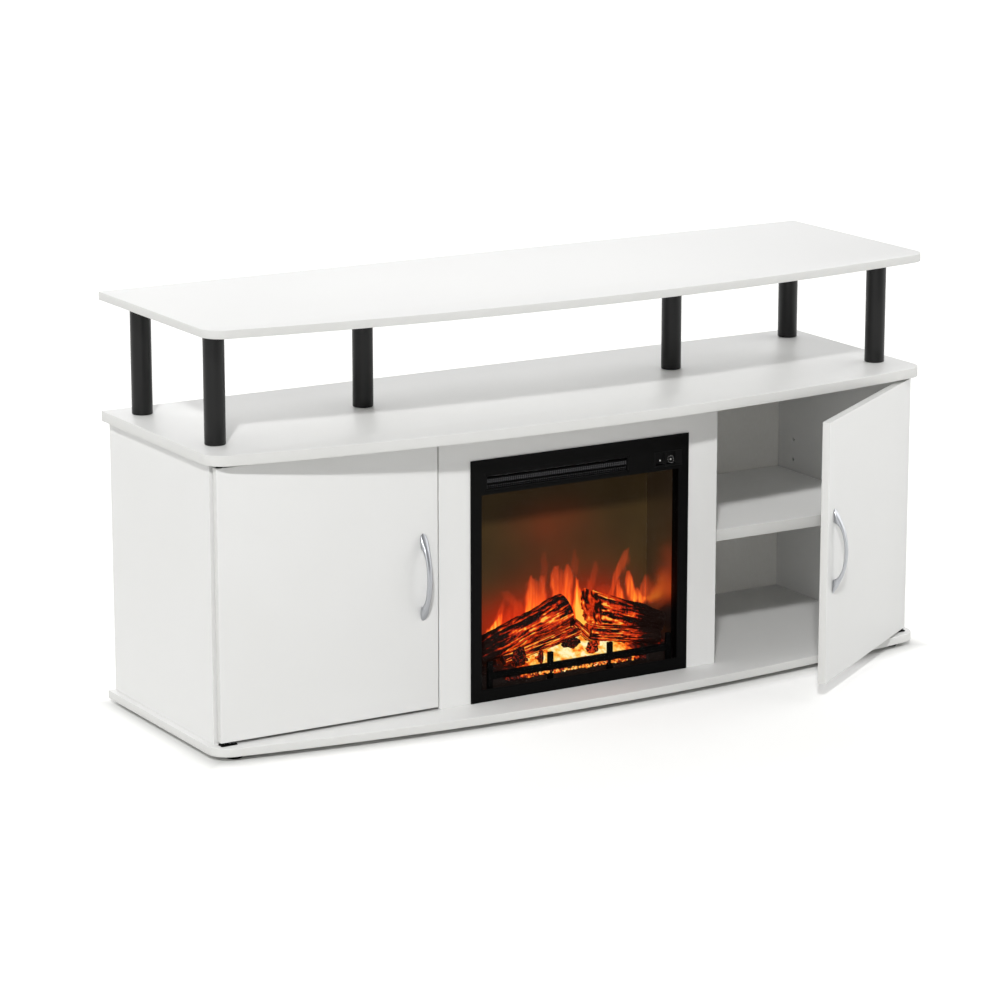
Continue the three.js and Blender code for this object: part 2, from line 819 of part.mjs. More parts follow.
// Arched bow pull: its outer side is one arc from tip to tip, its inner side an ellipse
// between the feet, and in the front view each foot swells to a leaf and ends in a point.
function bowPull() {
  const half = pullLength / 2;
  const arcRadius = (half ** 2 + pullProjection ** 2) / (2 * pullProjection);
  const innerHalf = half - pullFootLength;
  const innerRise = pullProjection - pullGripThickness;
  const steps = 22;
  const rings = Array.from({ length: steps + 1 }, (_, i) => {
    const along = half * Math.sin(Math.PI * (i / steps - 0.5));
    const reach = Math.abs(along);
    const outer = Math.sqrt(arcRadius ** 2 - along ** 2) - arcRadius + pullProjection;
    const inner = reach < innerHalf ? innerRise * Math.sqrt(1 - (along / innerHalf) ** 2) : 0;
    const footPart = THREE.MathUtils.clamp((reach - innerHalf + pullSwellStart) / pullSwellLength, 0, 1);
    const swell = THREE.MathUtils.smoothstep(footPart, 0, 1) * (pullFootWidth - pullGripWidth);
    const tip = THREE.MathUtils.clamp((half - reach) / (pullFootLength * pullTipPart), 0.004, 1);
    const width = (pullGripWidth + swell) * Math.sqrt(tip * (2 - tip));
    return ringAt(along, width / 2, inner, Math.max(outer, inner + pullThinnest), pullFullness, 10);
  });
  return loft(rings);
}

function pullScrew(z, extra = 0) {
  const backFace = -pivotFromBack;
  const length = doorThickness + fit + pullScrewBite;
  return turned([
    [0, backFace - pullScrewHeadHeight - extra],
    [pullScrewHeadRadius - pullScrewHeadEase + extra, backFace - pullScrewHeadHeight - extra],
    [pullScrewHeadRadius + extra, backFace - pullScrewHeadHeight + pullScrewHeadEase],
    [pullScrewHeadRadius + extra, backFace - fit],
    [pullScrewRadius + extra, backFace - fit],
    [pullScrewRadius + extra, backFace + length + extra],
    [0, backFace + length + extra],
  ], 'y', [0, 0, z], 8);
}

function door({ name, sign }) {
  const hung = new THREE.Group();
  hung.position.set(sign * pivotX, pivotY, 0);
  if (sign > 0) hung.rotation.z = THREE.MathUtils.degToRad(rightDoorRest);
  const screwHeights = [pullHeight - pullHoleSpacing / 2, pullHeight + pullHoleSpacing / 2];
  const atPull = (geometry) => geometry.translate(-sign * pullX, 0, 0);
  const screws = (extra) => screwHeights.map((z) => atPull(pullScrew(z, extra)));
  const bushHole = bushRadius + fit;
  const slab = extrude(rectangle(-sign * freeEdge, doorBottom, sign * pivotFromEdge, doorTop),
    'y', doorFront, pivotFromBack, edgeRound);
  addPiece(hung, `door_${name}`, cut(slab, [
    extrude(bore(0, 0, bushHole), 'z', doorTop - bushLength - fit, doorTop + past),
    extrude(bore(0, 0, bushHole), 'z', doorBottom - past, doorBottom + bushLength + fit),
    ...screws(fit),
  ]), 'whiteLaminate');
  addPiece(hung, `bush_top_${name}`, bush(true), 'blackPlastic');
  addPiece(hung, `bush_bottom_${name}`, bush(false), 'blackPlastic');
  const pull = bowPull().translate(0, doorFront - fit, pullHeight);
  addPiece(hung, `pull_${name}`, join([atPull(pull), ...screws(0)]), 'satinMetal');
  const strikeX = -sign * (pivotX - partitionOuter - catchFromPartition);
  const strikeTop = doorTop - strikeInset;
  const strike = rectangle(strikeX - strikeWidth / 2, strikeTop - strikeHeight,
    strikeX + strikeWidth / 2, strikeTop);
  addPiece(hung, `strike_plate_${name}`,
    extrude(strike, 'y', pivotFromBack + fit, pivotFromBack + fit + strikeThickness), 'zincSteel');
  stand.add(hung);
}

function magneticCatch(sign) {
  const x = sign * (partitionOuter + catchFromPartition);
  const front = doorBackFace + fit + strikeThickness + fit;
  const ceiling = carcassTop - fit;
  const body = extrude(rectangle(x - catchWidth / 2, ceiling - catchHeight, x + catchWidth / 2, ceiling),
    'y', front, front + catchDepth, catchEase);
  const halfSpan = catchWidth / 2 + catchEarLength;
  const middle = front + catchDepth / 2;
  const ears = box(x - halfSpan, x + halfSpan, middle - catchEarWidth / 2, middle + catchEarWidth / 2,
    ceiling - catchEarThickness, ceiling);
  return join([body, ears]);
}

// Fire insert: front plate, glass and case

const outlet = rectangle(outletLeft, outletBottom, outletRight, outletTop);
const control = rectangle(controlLeft, controlBottom, controlRight, controlTop);

function insertFront() {
  const plate = rectangle(-insertWidth / 2, plateBottom, insertWidth / 2, plateTop);
  const pane = rectangle(-windowHalfWidth, plateBottom + windowBottom, windowHalfWidth, windowTop);
  plate.holes.push(pane, outlet, control);
  addPiece(stand, 'insert_front', extrude(plate, 'y', plateFace, plateBack), 'blackSteel');
  const glassHalf = Math.min(windowHalfWidth + glassLap, caseInside - fit);
  addPiece(stand, 'window_glass', box(-glassHalf, glassHalf,
    plateBack + fit, plateBack + fit + glassThickness,
    plateBottom + windowBottom - glassLap, deckBottom - fit), 'darkGlass');
}

function ventSlots(bottom, height) {
  const first = -(ventCount - 1) / 2 * ventPitch;
  return Array.from({ length: ventCount }, (_, i) => {
    const x = first + i * ventPitch;
    return box(x - ventWidth / 2, x + ventWidth / 2, caseBack - caseWall - past, caseBack + past,
      bottom, bottom + height);
  });
}

function insertCase() {
  const glandHole = extrude(bore(glandX, glandHeight, glandNeck + fit), 'y',
    caseBack - caseWall - past, caseBack + past);
  const shell = cut(
    box(-caseHalfWidth, caseHalfWidth, caseFront, caseBack, plateBottom, caseTop),
    [
      box(-caseInside, caseInside, caseFront - past, caseBack - caseWall, caseFloor, caseTop - caseWall),
      ...ventSlots(deckTop + ventMargin, heaterSpace - 2 * ventMargin),
      ...ventSlots(caseFloor + ventAboveFloor, ventHeight),
      glandHole,
    ]);
  const deck = box(-caseInside - caseWall / 2, caseInside + caseWall / 2,
    caseFront, caseBack - caseWall / 2, deckBottom, deckTop);
  const earMiddle = (plateBottom + plateTop) / 2;
  const ears = [-1, 1].map((sign) => box(
    sign * (caseHalfWidth - caseWall / 2), sign * (caseHalfWidth + caseEar),
    carcassFront + fit, carcassFront + fit + caseWall,
    earMiddle - caseEarHeight / 2, earMiddle + caseEarHeight / 2));
  const bossEnd = spindleBossLength - caseInside;
  const bearing = cut(
    extrude(disc(spindleY, spindleHeight, spindleRadius + spindleBossWall), 'x',
      -caseInside - caseWall / 2, bossEnd),
    [extrude(bore(spindleY, spindleHeight, spindleRadius + running), 'x', -caseInside, bossEnd + past)]);
  addPiece(stand, 'insert_case', join([shell, deck, ...ears, bearing]), 'zincSteel');
}

// Outlet louvre: a rim with tilted slats across it and ribs behind them

function louvre() {
  const [low, high] = [outletBottom + fit, outletTop - fit];
  const [leftEnd, rightEnd] = [outletLeft + fit, outletRight - fit];
  const front = plateFace + fit;
  const rim = rectangle(leftEnd, low, rightEnd, high);
  rim.holes.push(rectangle(leftEnd + louvreRim, low + louvreRim, rightEnd - louvreRim, high - louvreRim));
  const pitch = (high - low - 2 * louvreRim) / (louvreSlats + 1);
  const slats = Array.from({ length: louvreSlats }, (_, i) => {
    const slat = box(leftEnd + louvreRim / 2, rightEnd - louvreRim / 2,
      0, louvreSlatDepth, 0, louvreSlatThickness);
    slat.translate(0, -louvreSlatDepth / 2, -louvreSlatThickness / 2);
    slat.rotateX(THREE.MathUtils.degToRad(louvreSlatTilt));
    const middle = front + louvreSlatSetback + louvreSlatDepth / 2;
    return slat.translate(0, middle, low + louvreRim + pitch * (i + 1));
  });
  const ribs = Array.from({ length: louvreRibs }, (_, i) => {
    const x = leftEnd + (rightEnd - leftEnd) * (i + 1) / (louvreRibs + 1);
    return box(x - louvreRibThickness / 2, x + louvreRibThickness / 2,
      front + louvreRibSetback, front + louvreDepth - louvreRibInset,
      low + louvreRim / 2, high - louvreRim / 2);
  });
  addPiece(stand, 'outlet_louvre', join([extrude(rim, 'y', front, front + louvreDepth), ...slats, ...ribs]),
    'blackPlastic');
}

// Controls: a moulded plate with two wells, and a rocker in each

const rockerX = [controlLeft + firstRockerInset, controlLeft + firstRockerInset + rockerPitch];
const rockerZ = (controlBottom + controlTop) / 2;
const rockerY = plateFace + rockerPivotDepth;

function controlPlate() {
  const front = plateFace + fit;
  const outline = rectangle(controlLeft + fit, controlBottom + fit, controlRight - fit, controlTop - fit);
  const face = extrude(outline, 'y', front, front + controlPlateThickness);
  const half = rockerWidth / 2 + fit;
  const tall = rockerHeight / 2 + fit;
  const well = (x, grow, from, to) => box(x - half - grow, x + half + grow, from, to,
    rockerZ - tall - grow, rockerZ + tall + grow);
  const wells = rockerX.map((x) => (
    well(x, switchWall, front + controlPlateThickness / 2, plateFace + switchDepth)));
  const pockets = rockerX.map((x) => well(x, 0, plateFace - past, plateFace + switchDepth - switchWall));
  const pivotHoles = rockerX.map((x) => extrude(bore(rockerY, rockerZ, rockerTrunnion + running, 8), 'x',
    x - half - switchWall + fit, x + half + switchWall - fit));
  const plate = cut(join([face, ...wells]), [...pockets, ...pivotHoles]);
  addPiece(stand, 'control_plate', plate, 'blackPlastic');
}

function rocker(name, x) {
  const half = rockerHeight / 2 - rockerEase;
  const rear = rockerDepth - rockerFaceReach;
  const outline = new THREE.Shape([
    [-rockerFaceReach, -half],
    [-rockerFaceReach + rockerCrown, 0],
    [-rockerFaceReach, half],
    [0, half - rockerTaper],
    [rear, half / 2],
    [rear, -half / 2],
    [0, -half + rockerTaper],
  ].map(([y, z]) => new THREE.Vector2(y, z)));
  const cap = extrude(outline, 'x', -rockerWidth / 2, rockerWidth / 2);
  const trunnions = extrude(disc(0, 0, rockerTrunnion, 8), 'x',
    -rockerWidth / 2 - rockerTrunnionReach, rockerWidth / 2 + rockerTrunnionReach);
  const body = join([cap, trunnions]);
  body.rotateX(THREE.MathUtils.degToRad(-rockerThrow / 2));
  addPiece(stand, name, body.translate(x, rockerY, rockerZ), 'blackPlastic');
}

// Cross-flow blower: a drum of curved blades between two discs, in an open scroll

function blowerWheel() {
  const half = blowerLength / 2;
  const inner = blowerRadius - bladeDepth;
  const blade = (turn) => {
    const curve = (radius, offset) => {
      const angle = turn + bladeSweep * ((radius - inner) / bladeDepth) ** 2 + offset / radius;
      return new THREE.Vector2(radius * Math.cos(angle), radius * Math.sin(angle));
    };
    const radii = [inner, inner + bladeDepth / 2, blowerRadius - bladeSink];
    return extrude(new THREE.Shape([
      ...radii.map((radius) => curve(radius, -bladeThickness / 2)),
      ...radii.slice().reverse().map((radius) => curve(radius, bladeThickness / 2)),
    ]), 'x', -half + blowerDisc / 2, half - blowerDisc / 2);
  };
  const blades = Array.from({ length: blowerBlades }, (_, i) => blade(2 * Math.PI * i / blowerBlades));
  const discs = [-1, 1].map((end) => extrude(disc(0, 0, blowerRadius, 20), 'x',
    end * half, end * (half - blowerDisc)));
  const journal = extrude(disc(0, 0, shaftRadius, 8), 'x',
    -half - journalLength, -half + blowerDisc / 2);
  const drive = extrude(disc(0, 0, shaftRadius, 8), 'x', half - blowerDisc / 2, half + driveLength);
  const wheel = join([...discs, ...blades, journal, drive]);
  addPiece(stand, 'blower_wheel', wheel.translate(blowerMiddleX, blowerY, heaterMiddle), 'aluminium');
}

function blowerHousing() {
  const half = blowerLength / 2 + scrollEndGap;
  const steps = 14;
  const scroll = (extra) => Array.from({ length: steps + 1 }, (_, i) => {
    const part = i / steps;
    const angle = THREE.MathUtils.degToRad(scrollStart - scrollSweep * part);
    const radius = scrollStartRadius + (scrollEndRadius - scrollStartRadius) * part + extra;
    return new THREE.Vector2(radius * Math.cos(angle), radius * Math.sin(angle));
  });
  const mouth = -scrollReach;
  const floor = -scrollEndRadius;
  const volute = extrude(new THREE.Shape([
    ...scroll(0),
    new THREE.Vector2(mouth, floor),
    new THREE.Vector2(mouth, floor - scrollThickness),
    ...scroll(scrollThickness).reverse(),
  ]), 'x', -half, half);
  const tongueAngle = THREE.MathUtils.degToRad(tongueStart);
  const lip = new THREE.Vector2(
    scrollStartRadius * Math.cos(tongueAngle), scrollStartRadius * Math.sin(tongueAngle));
  const roof = elementHalfHeight;
  const tongue = extrude(new THREE.Shape([
    lip,
    new THREE.Vector2(lip.x - tongueReach, roof),
    new THREE.Vector2(mouth, roof),
    new THREE.Vector2(mouth, roof + scrollThickness),
    new THREE.Vector2(lip.x - tongueReach, roof + scrollThickness),
    new THREE.Vector2(lip.x, lip.y + 2 * scrollThickness),
  ].reverse()), 'x', -half, half);
  const cheek = (end) => cut(
    extrude(rectangle(mouth, floor - scrollThickness, scrollEndRadius, scrollStartRadius), 'x',
      end * half, end * (half + scrollThickness)),
    [extrude(bore(0, 0, shaftRadius + running), 'x',
      end * (half - past), end * (half + scrollThickness + past))]);
  const housing = join([volute, tongue, cheek(-1), cheek(1)]);
  addPiece(stand, 'blower_housing', housing.translate(blowerMiddleX, blowerY, heaterMiddle), 'zincSteel');
}

function blowerMotor() {
  const start = blowerMiddleX + blowerLength / 2 + scrollEndGap + scrollThickness + motorGap;
  const foot = heaterMiddle - deckTop - fit;
  const hole = shaftRadius + running;
  const body = turned([
    [hole, 0],
    [motorRadius - motorBossStep, 0],
    [motorRadius - motorBossStep, motorBossLength],
    [motorRadius, motorBossLength + motorEase / 3],
    [motorRadius, motorLength - motorEase],
    [motorRadius - motorEase, motorLength],
    [0, motorLength],
    [0, motorBoreDepth],
    [hole, motorBoreDepth],
    [hole, 0],
  ], 'x', [0, 0, 0], 14);
  const footHalf = motorRadius - motorEase / 3;
  const base = box(motorFootStart, motorLength - 2 * motorEase,
    -footHalf, footHalf, -foot, motorEase - motorRadius);
  addPiece(stand, 'blower_motor', join([body, base]).translate(start, blowerY, heaterMiddle), 'zincSteel');
}

function heaterElement() {
  const half = blowerLength / 2;
  const front = caseFront + elementFromFront;
  const low = deckTop + fit - heaterMiddle;
  const rails = [[low, low + elementRail], [elementHalfHeight - elementRail, elementHalfHeight]];
  const bars = rails.map(([z0, z1]) => box(-half, half, 0, elementDepth, z0, z1));
  const fins = Array.from({ length: elementFins }, (_, i) => {
    const x = -half + (2 * half - finThickness) * i / (elementFins - 1);
    return box(x, x + finThickness, finInset, elementDepth - finInset,
      low + finInset, elementHalfHeight - finInset);
  });
  addPiece(stand, 'heater_element', join([...bars, ...fins]).translate(blowerMiddleX, front, heaterMiddle),
    'aluminium');
}

// Flame effect behind the logs

function flameEffect() {
  const screenY = caseFront + screenFromFront;
  addPiece(stand, 'flame_screen', box(-caseInside + fit, caseInside - fit,
    screenY, screenY + screenThickness, caseFloor + fit, deckBottom - fit), 'smokedAcrylic');

  const motorFace = caseInside - fit - spindleMotorLength;
  const shaft = extrude(disc(0, 0, spindleRadius, 10), 'x',
    spindleEndGap - caseInside, motorFace + spindleDriveLength);
  const first = spindleBossLength - caseInside + 10;
  const span = motorFace - flagEndGap - flagLength - first;
  const goldenAngle = Math.PI * (3 - Math.sqrt(5));
  const flags = Array.from({ length: flagCount }, (_, i) => {
    const x = first + span * i / (flagCount - 1);
    const flag = box(x, x + flagLength, 0, flagRadius, -flagThickness / 2, flagThickness / 2);
    return flag.rotateX(goldenAngle * i);
  });
  addPiece(stand, 'flame_spindle', join([shaft, ...flags]).translate(0, spindleY, spindleHeight),
    'aluminium');
  const hole = spindleRadius + running;
  addPiece(stand, 'flame_motor', turned([
    [hole, 0],
    [spindleRadius + spindleBossWall, 0],
    [spindleRadius + spindleBossWall, spindleMotorBoss],
    [spindleMotorRadius, spindleMotorBoss],
    [spindleMotorRadius, spindleMotorLength],
    [0, spindleMotorLength],
    [0, spindleMotorBore],
    [hole, spindleMotorBore],
    [hole, 0],
  ], 'x', [motorFace, spindleY, spindleHeight], 14), 'zincSteel');
}

function lightBoard() {
  const middleY = caseFront + bedBack - lightChannelDepth / 2;
  const bottom = caseFloor + lightLegHeight;
  const board = box(-lightBoardHalfLength, lightBoardHalfLength,
    middleY - lightBoardWidth / 2, middleY + lightBoardWidth / 2, bottom, bottom + lightBoardThickness);
  const lights = Array.from({ length: lightCount }, (_, i) => {
    const x = lightBoardHalfLength * ((2 * i + 1) / lightCount - 1);
    return box(x - lightSize / 2, x + lightSize / 2, middleY - lightSize / 2, middleY + lightSize / 2,
      bottom + lightBoardThickness / 2, bottom + lightBoardThickness + lightHeight);
  });
  const legs = [-1, 0, 1].map((place) => extrude(
    disc(place * (lightBoardHalfLength - lightLegInset), middleY - lightBoardWidth / 2 + lightLegFromEdge,
      lightLegRadius, 8), 'z',
    caseFloor + fit, bottom + lightBoardThickness / 2));
  addPiece(stand, 'light_board', join([board, ...lights, ...legs]), 'circuitBoard');
}

// Ember bed: a mound with a rippled top over a channel for the lights

function bedTop(x, y) {
  const depth = (y - caseFront - bedFrontGap) / (bedBack - bedFrontGap);
  const across = Math.exp(-(((x - bedMoundX) / bedMoundReach) ** 2));
  const along = Math.sin(Math.PI * THREE.MathUtils.clamp(0.18 + 0.8 * depth, 0, 1));
  const wave = 2 * Math.PI / bedRipplePitch;
  const ripple = Math.sin(wave * x + 1.7 * Math.sin(0.8 * wave * y)) * Math.cos(wave * (1.2 * y + 0.3 * x));
  return caseFloor + bedEdgeHeight + bedMoundHeight * across * along + bedRipple * ripple;
}

function emberBed(grow = 0) {
  const front = caseFront + bedFrontGap;
  const rear = caseFront + bedBack;
  const rings = Array.from({ length: bedColumns + 1 }, (_, i) => {
    const x = bedHalfLength * (2 * i / bedColumns - 1);
    const top = Array.from({ length: bedRows + 1 }, (_unused, j) => {
      const y = rear + (front - rear) * j / bedRows;
      return new THREE.Vector3(x, y, bedTop(x, y) + grow);
    });
    return [
      new THREE.Vector3(x, front, caseFloor + fit),
      new THREE.Vector3(x, rear, caseFloor + fit),
      ...top,
    ];
  });
  const channelHalf = lightBoardHalfLength + lightChannelEndGap;
  return cut(loft(rings), [box(-channelHalf, channelHalf, rear - lightChannelDepth, rear + past,
    caseFloor - past, caseFloor + lightChannelHeight)]);
}

// Logs: a tapering round with bark ridges, sawn square at both ends. Ends are given in
// parts of the bed: of half its length from its middle, of its depth from the front of the
// case, and of its height from the case floor. Radii are parts of the thickest one.
const logs = {
  log_left: { from: [-0.897, 0.541, 0.847], to: [0.036, 0.471, 1.661], radii: [0.773, 1], phase: 0.4 },
  log_right: { from: [0.145, 0.424, 1.797], to: [0.97, 0.612, 0.814], radii: [0.955, 0.682], phase: 2.1 },
  log_front: { from: [0.121, 0.235, 1.051], to: [0.848, 0.282, 0.576], radii: [0.5, 0.364], phase: 3.6 },
};

function log({ from, to, radii, phase }, grow = 0) {
  const bedHeight = bedEdgeHeight + bedMoundHeight;
  const place = ([x, y, z]) => new THREE.Vector3(
    x * bedHalfLength, caseFront + y * bedBack, caseFloor + z * bedHeight);
  const [start, end] = [place(from), place(to)];
  const along = end.clone().sub(start).normalize();
  const across = new THREE.Vector3().crossVectors(up, along).normalize();
  const over = new THREE.Vector3().crossVectors(along, across);
  const rings = Array.from({ length: logRings + 1 }, (_, i) => {
    const part = i / logRings;
    const crook = logCrook * Math.sin(Math.PI * part + phase);
    const middle = start.clone().lerp(end, part).addScaledVector(over, crook);
    const radius = logRadius * THREE.MathUtils.lerp(radii[0], radii[1], part);
    return Array.from({ length: logSides }, (_unused, j) => {
      const angle = 2 * Math.PI * j / logSides;
      const bark = 1 + barkRidge * Math.cos(5 * angle + phase + 1.5 * part)
        + barkRidge / 2 * Math.sin(3 * angle + 9 * part + phase);
      return middle.clone()
        .addScaledVector(across, (radius * bark + grow) * Math.cos(angle))
        .addScaledVector(over, (radius * bark + grow) * Math.sin(angle));
    });
  });
  return loft(rings);
}

function logSet() {
  addPiece(stand, 'ember_bed', emberBed(), 'emberResin');
  const bedRoom = emberBed(fit);
  const gratePiece = grate();
  addPiece(stand, 'fire_grate', gratePiece, 'blackPlastic');
  const placed = [bedRoom];
  for (const [name, sizes] of Object.entries(logs)) {
    addPiece(stand, name, cut(log(sizes), placed), 'charredResin');
    placed.push(log(sizes, fit));
  }
}

// Grate: a rail across the front of the embers on uprights that stand on the case floor
function grate() {
  const front = caseFront + grateFromFront;
  const rail = caseFloor + grateRailBottom;
  const bars = [extrude(
    rectangle(grateShift - grateHalfLength, rail, grateShift + grateHalfLength, rail + grateRailHeight),
    'y', front, front + grateDepth)];
  for (let i = 0; i < gratePosts; i += 1) {
    const x = grateShift + (i - (gratePosts - 1) / 2) * gratePitch;
    bars.push(extrude(rectangle(x - gratePostWidth / 2, caseFloor + fit,
      x + gratePostWidth / 2, caseFloor + gratePostHeight), 'y',
    front + gratePostSetback, front + grateDepth + gratePostProud));
  }
  return join(bars);
}

// Cord gland in the back of the case

function cordGland() {
  const wall = caseWall + 2 * fit;
  const profile = [
    [glandBore, -glandLength],
    [glandRadius - glandEase, -glandLength],
    [glandRadius, 2 * glandEase - glandLength],
    [glandRadius, -fit],
    [glandNeck, -fit],
    [glandNeck, wall],
    [glandRadius, wall],
    [glandRadius, wall + glandNut],
    [glandBore, wall + glandNut],
    [glandBore, -glandLength],
  ];
  addPiece(stand, 'cord_gland', turned(profile, 'y', [glandX, caseBack, glandHeight], 10), 'blackPlastic');
}

boards();
posts.forEach((place) => addPiece(stand, place.name, post(place), 'blackPlastic'));
glides.forEach((place) => addPiece(stand, place.name, glide(place), 'blackPlastic'));
uprights();
shelves();
surround();
sides.forEach(door);
for (const { name, sign } of sides) {
  addPiece(stand, `pivot_bracket_top_${name}`, pivotBracket(sign, true), 'blackSteel');
  addPiece(stand, `pivot_bracket_bottom_${name}`, pivotBracket(sign, false), 'blackSteel');
  addPiece(stand, `magnetic_catch_${name}`, magneticCatch(sign), 'whitePlastic');
}
insertFront();
insertCase();
louvre();
controlPlate();
rocker('heat_switch', rockerX[0]);
rocker('flame_switch', rockerX[1]);
blowerHousing();
blowerWheel();
blowerMotor();
heaterElement();
flameEffect();
lightBoard();
logSet();
cordGland();

// The origin is the middle of the footprint, on the floor.
const extent = new THREE.Box3().setFromObject(stand, true);
const footprint = extent.getCenter(new THREE.Vector3());
stand.position.set(-footprint.x, -footprint.y, -extent.min.z);

export default stand;
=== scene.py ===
# %% [markdown]
# # A bow-fronted TV stand with a log fire
#
# The stand is made of white boards, black posts, two doors and an electric fire. This file
# dresses its construction model: flat panels keep the model's own shape and get a finish,
# and everything round, soft-edged or glowing is made again with finer meshes in the same
# place. Lengths are metres, X runs to the right, Y to the back and Z up.

import json
import math
import random

import bmesh
import bpy
from mathutils import Matrix, Vector, noise


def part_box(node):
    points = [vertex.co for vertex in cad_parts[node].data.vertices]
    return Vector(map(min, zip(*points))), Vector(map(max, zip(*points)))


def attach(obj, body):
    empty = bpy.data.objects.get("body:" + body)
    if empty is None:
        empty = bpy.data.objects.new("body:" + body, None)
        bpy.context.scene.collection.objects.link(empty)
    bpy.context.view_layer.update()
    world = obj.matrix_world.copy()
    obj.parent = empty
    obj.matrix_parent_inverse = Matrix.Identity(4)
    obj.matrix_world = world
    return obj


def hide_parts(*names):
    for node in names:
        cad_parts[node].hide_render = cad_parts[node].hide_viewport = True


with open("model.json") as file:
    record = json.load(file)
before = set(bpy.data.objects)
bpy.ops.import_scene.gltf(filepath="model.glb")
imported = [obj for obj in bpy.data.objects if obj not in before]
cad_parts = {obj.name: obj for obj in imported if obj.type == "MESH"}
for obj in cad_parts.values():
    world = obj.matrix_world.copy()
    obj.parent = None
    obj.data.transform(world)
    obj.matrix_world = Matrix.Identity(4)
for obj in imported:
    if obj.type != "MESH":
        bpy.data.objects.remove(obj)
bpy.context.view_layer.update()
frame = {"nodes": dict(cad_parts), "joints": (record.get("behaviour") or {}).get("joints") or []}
MM = 0.001

# %% [markdown]
# ## Camera
#
# The stand is seen from its left, from a little above and from far away with a long lens,
# which keeps its edges nearly parallel. The camera is placed by the point it looks at and
# by its distance and angles, because those are the numbers a photographer would change.

# %% Camera
LOOK_AT = Vector((-0.0791, 0.0277, 0.2888))
CAMERA_DISTANCE = 5.6
CAMERA_TURN = math.radians(-30.78)
CAMERA_RISE = math.radians(13.57)
LENS_MM = 138.8

away = Vector((
    math.sin(CAMERA_TURN) * math.cos(CAMERA_RISE),
    -math.cos(CAMERA_TURN) * math.cos(CAMERA_RISE),
    math.sin(CAMERA_RISE),
))
camera_data = bpy.data.cameras.new("camera")
camera_data.lens = LENS_MM
camera_data.sensor_width = 36.0
camera_data.clip_end = 200.0
camera = bpy.data.objects.new("camera", camera_data)
camera.location = LOOK_AT + away * CAMERA_DISTANCE
camera.rotation_euler = (-away).to_track_quat("-Z", "Y").to_euler()
bpy.context.scene.collection.objects.link(camera)
bpy.context.scene.camera = camera
bpy.context.scene.view_settings.view_transform = "Standard"
print("camera at", [round(x, 3) for x in camera.location])

# %% [markdown]
# ## Colours and shader nodes
#
# Colours are written as the sRGB hex values that a paint chart gives, and one function
# turns them into the linear values that a shader wants. One more function adds a node,
# sets it up and links it, so that a material reads as a list of its layers.


# %% Helpers for materials
def linear(hex_colour):
    """An sRGB hex value as linear red, green and blue, with an alpha of 1."""
    parts = [int(hex_colour[i:i + 2], 16) / 255 for i in (0, 2, 4)]
    return tuple(c / 12.92 if c <= 0.04045 else ((c + 0.055) / 1.055) ** 2.4 for c in parts) + (1.0,)


def add(tree, kind, inputs=None, **settings):
    """A new node. inputs maps a socket's name or number to a value or to another node's output."""
    made = tree.nodes.new(kind)
    for name, value in settings.items():
        setattr(made, name, value)
    for name, value in (inputs or {}).items():
        if isinstance(value, bpy.types.NodeSocket):
            tree.links.new(value, made.inputs[name])
        else:
            made.inputs[name].default_value = value
    return made


def new_material(name, colour, roughness, metallic=0.0, ior=1.5):
    """A material with a plain shader, its node tree, its shader and the object's own coordinates."""
    material = bpy.data.materials.new(name)
    material.use_nodes = True
    tree = material.node_tree
    shader = tree.nodes["Principled BSDF"]
    shader.inputs["Base Color"].default_value = linear(colour)
    shader.inputs["Roughness"].default_value = roughness
    shader.inputs["Metallic"].default_value = metallic
    shader.inputs["IOR"].default_value = ior
    place = add(tree, "ShaderNodeTexCoord").outputs["Object"]
    print(f"finish {name}: colour {colour}, roughness {roughness}")
    return material, tree, shader, place


def per_metre(size_mm):
    """The scale of a pattern whose features are size_mm across."""
    return 1000.0 / size_mm


def two_tone(tree, shader, factor, dark, light):
    """Mixes two hex colours by factor into the base colour."""
    mixed = add(tree, "ShaderNodeMix", {
        "Factor": factor, 6: linear(dark), 7: linear(light)}, data_type="RGBA")
    tree.links.new(mixed.outputs[2], shader.inputs["Base Color"])


def uneven_gloss(tree, shader, factor, low, high):
    """Spreads the roughness between low and high by factor."""
    spread = add(tree, "ShaderNodeMapRange", {"Value": factor, "To Min": low, "To Max": high})
    tree.links.new(spread.outputs["Result"], shader.inputs["Roughness"])


def relief(tree, shader, height, depth_mm, strength=1.0):
    """Raises the surface by height, which is worth depth_mm where it is 1."""
    bump = add(tree, "ShaderNodeBump", {"Height": height, "Distance": depth_mm * MM, "Strength": strength})
    tree.links.new(bump.outputs["Normal"], shader.inputs["Normal"])


# %% [markdown]
# ## White board
#
# Melamine paper pressed onto particleboard. The press plate leaves a fine pearl grain, so
# the white is satin and its reflections are soft. Noise drives a small relief. The real
# grain is about 0.3 mm, too fine to show, so it is drawn three times as coarse. A much wider
# noise moves the tone and the gloss a little, as cleaning does.

# %% White board
PEARL_GRAIN_MM = 0.9
CLEANING_PATCH_MM = 160.0


def melamine(name, colour, shade, grain_mm, grain_depth_mm):
    """Paper-faced board. shade is the tone of its cleaned patches."""
    material, tree, shader, place = new_material(name, colour, 0.42)
    grain = add(tree, "ShaderNodeTexNoise", {"Vector": place, "Scale": per_metre(grain_mm), "Detail": 3.0})
    patch = add(tree, "ShaderNodeTexNoise", {
        "Vector": place, "Scale": per_metre(CLEANING_PATCH_MM), "Detail": 2.0})
    two_tone(tree, shader, patch.outputs["Fac"], shade, colour)
    uneven_gloss(tree, shader, patch.outputs["Fac"], 0.38, 0.5)
    relief(tree, shader, grain.outputs["Fac"], grain_depth_mm, 0.5)
    return material


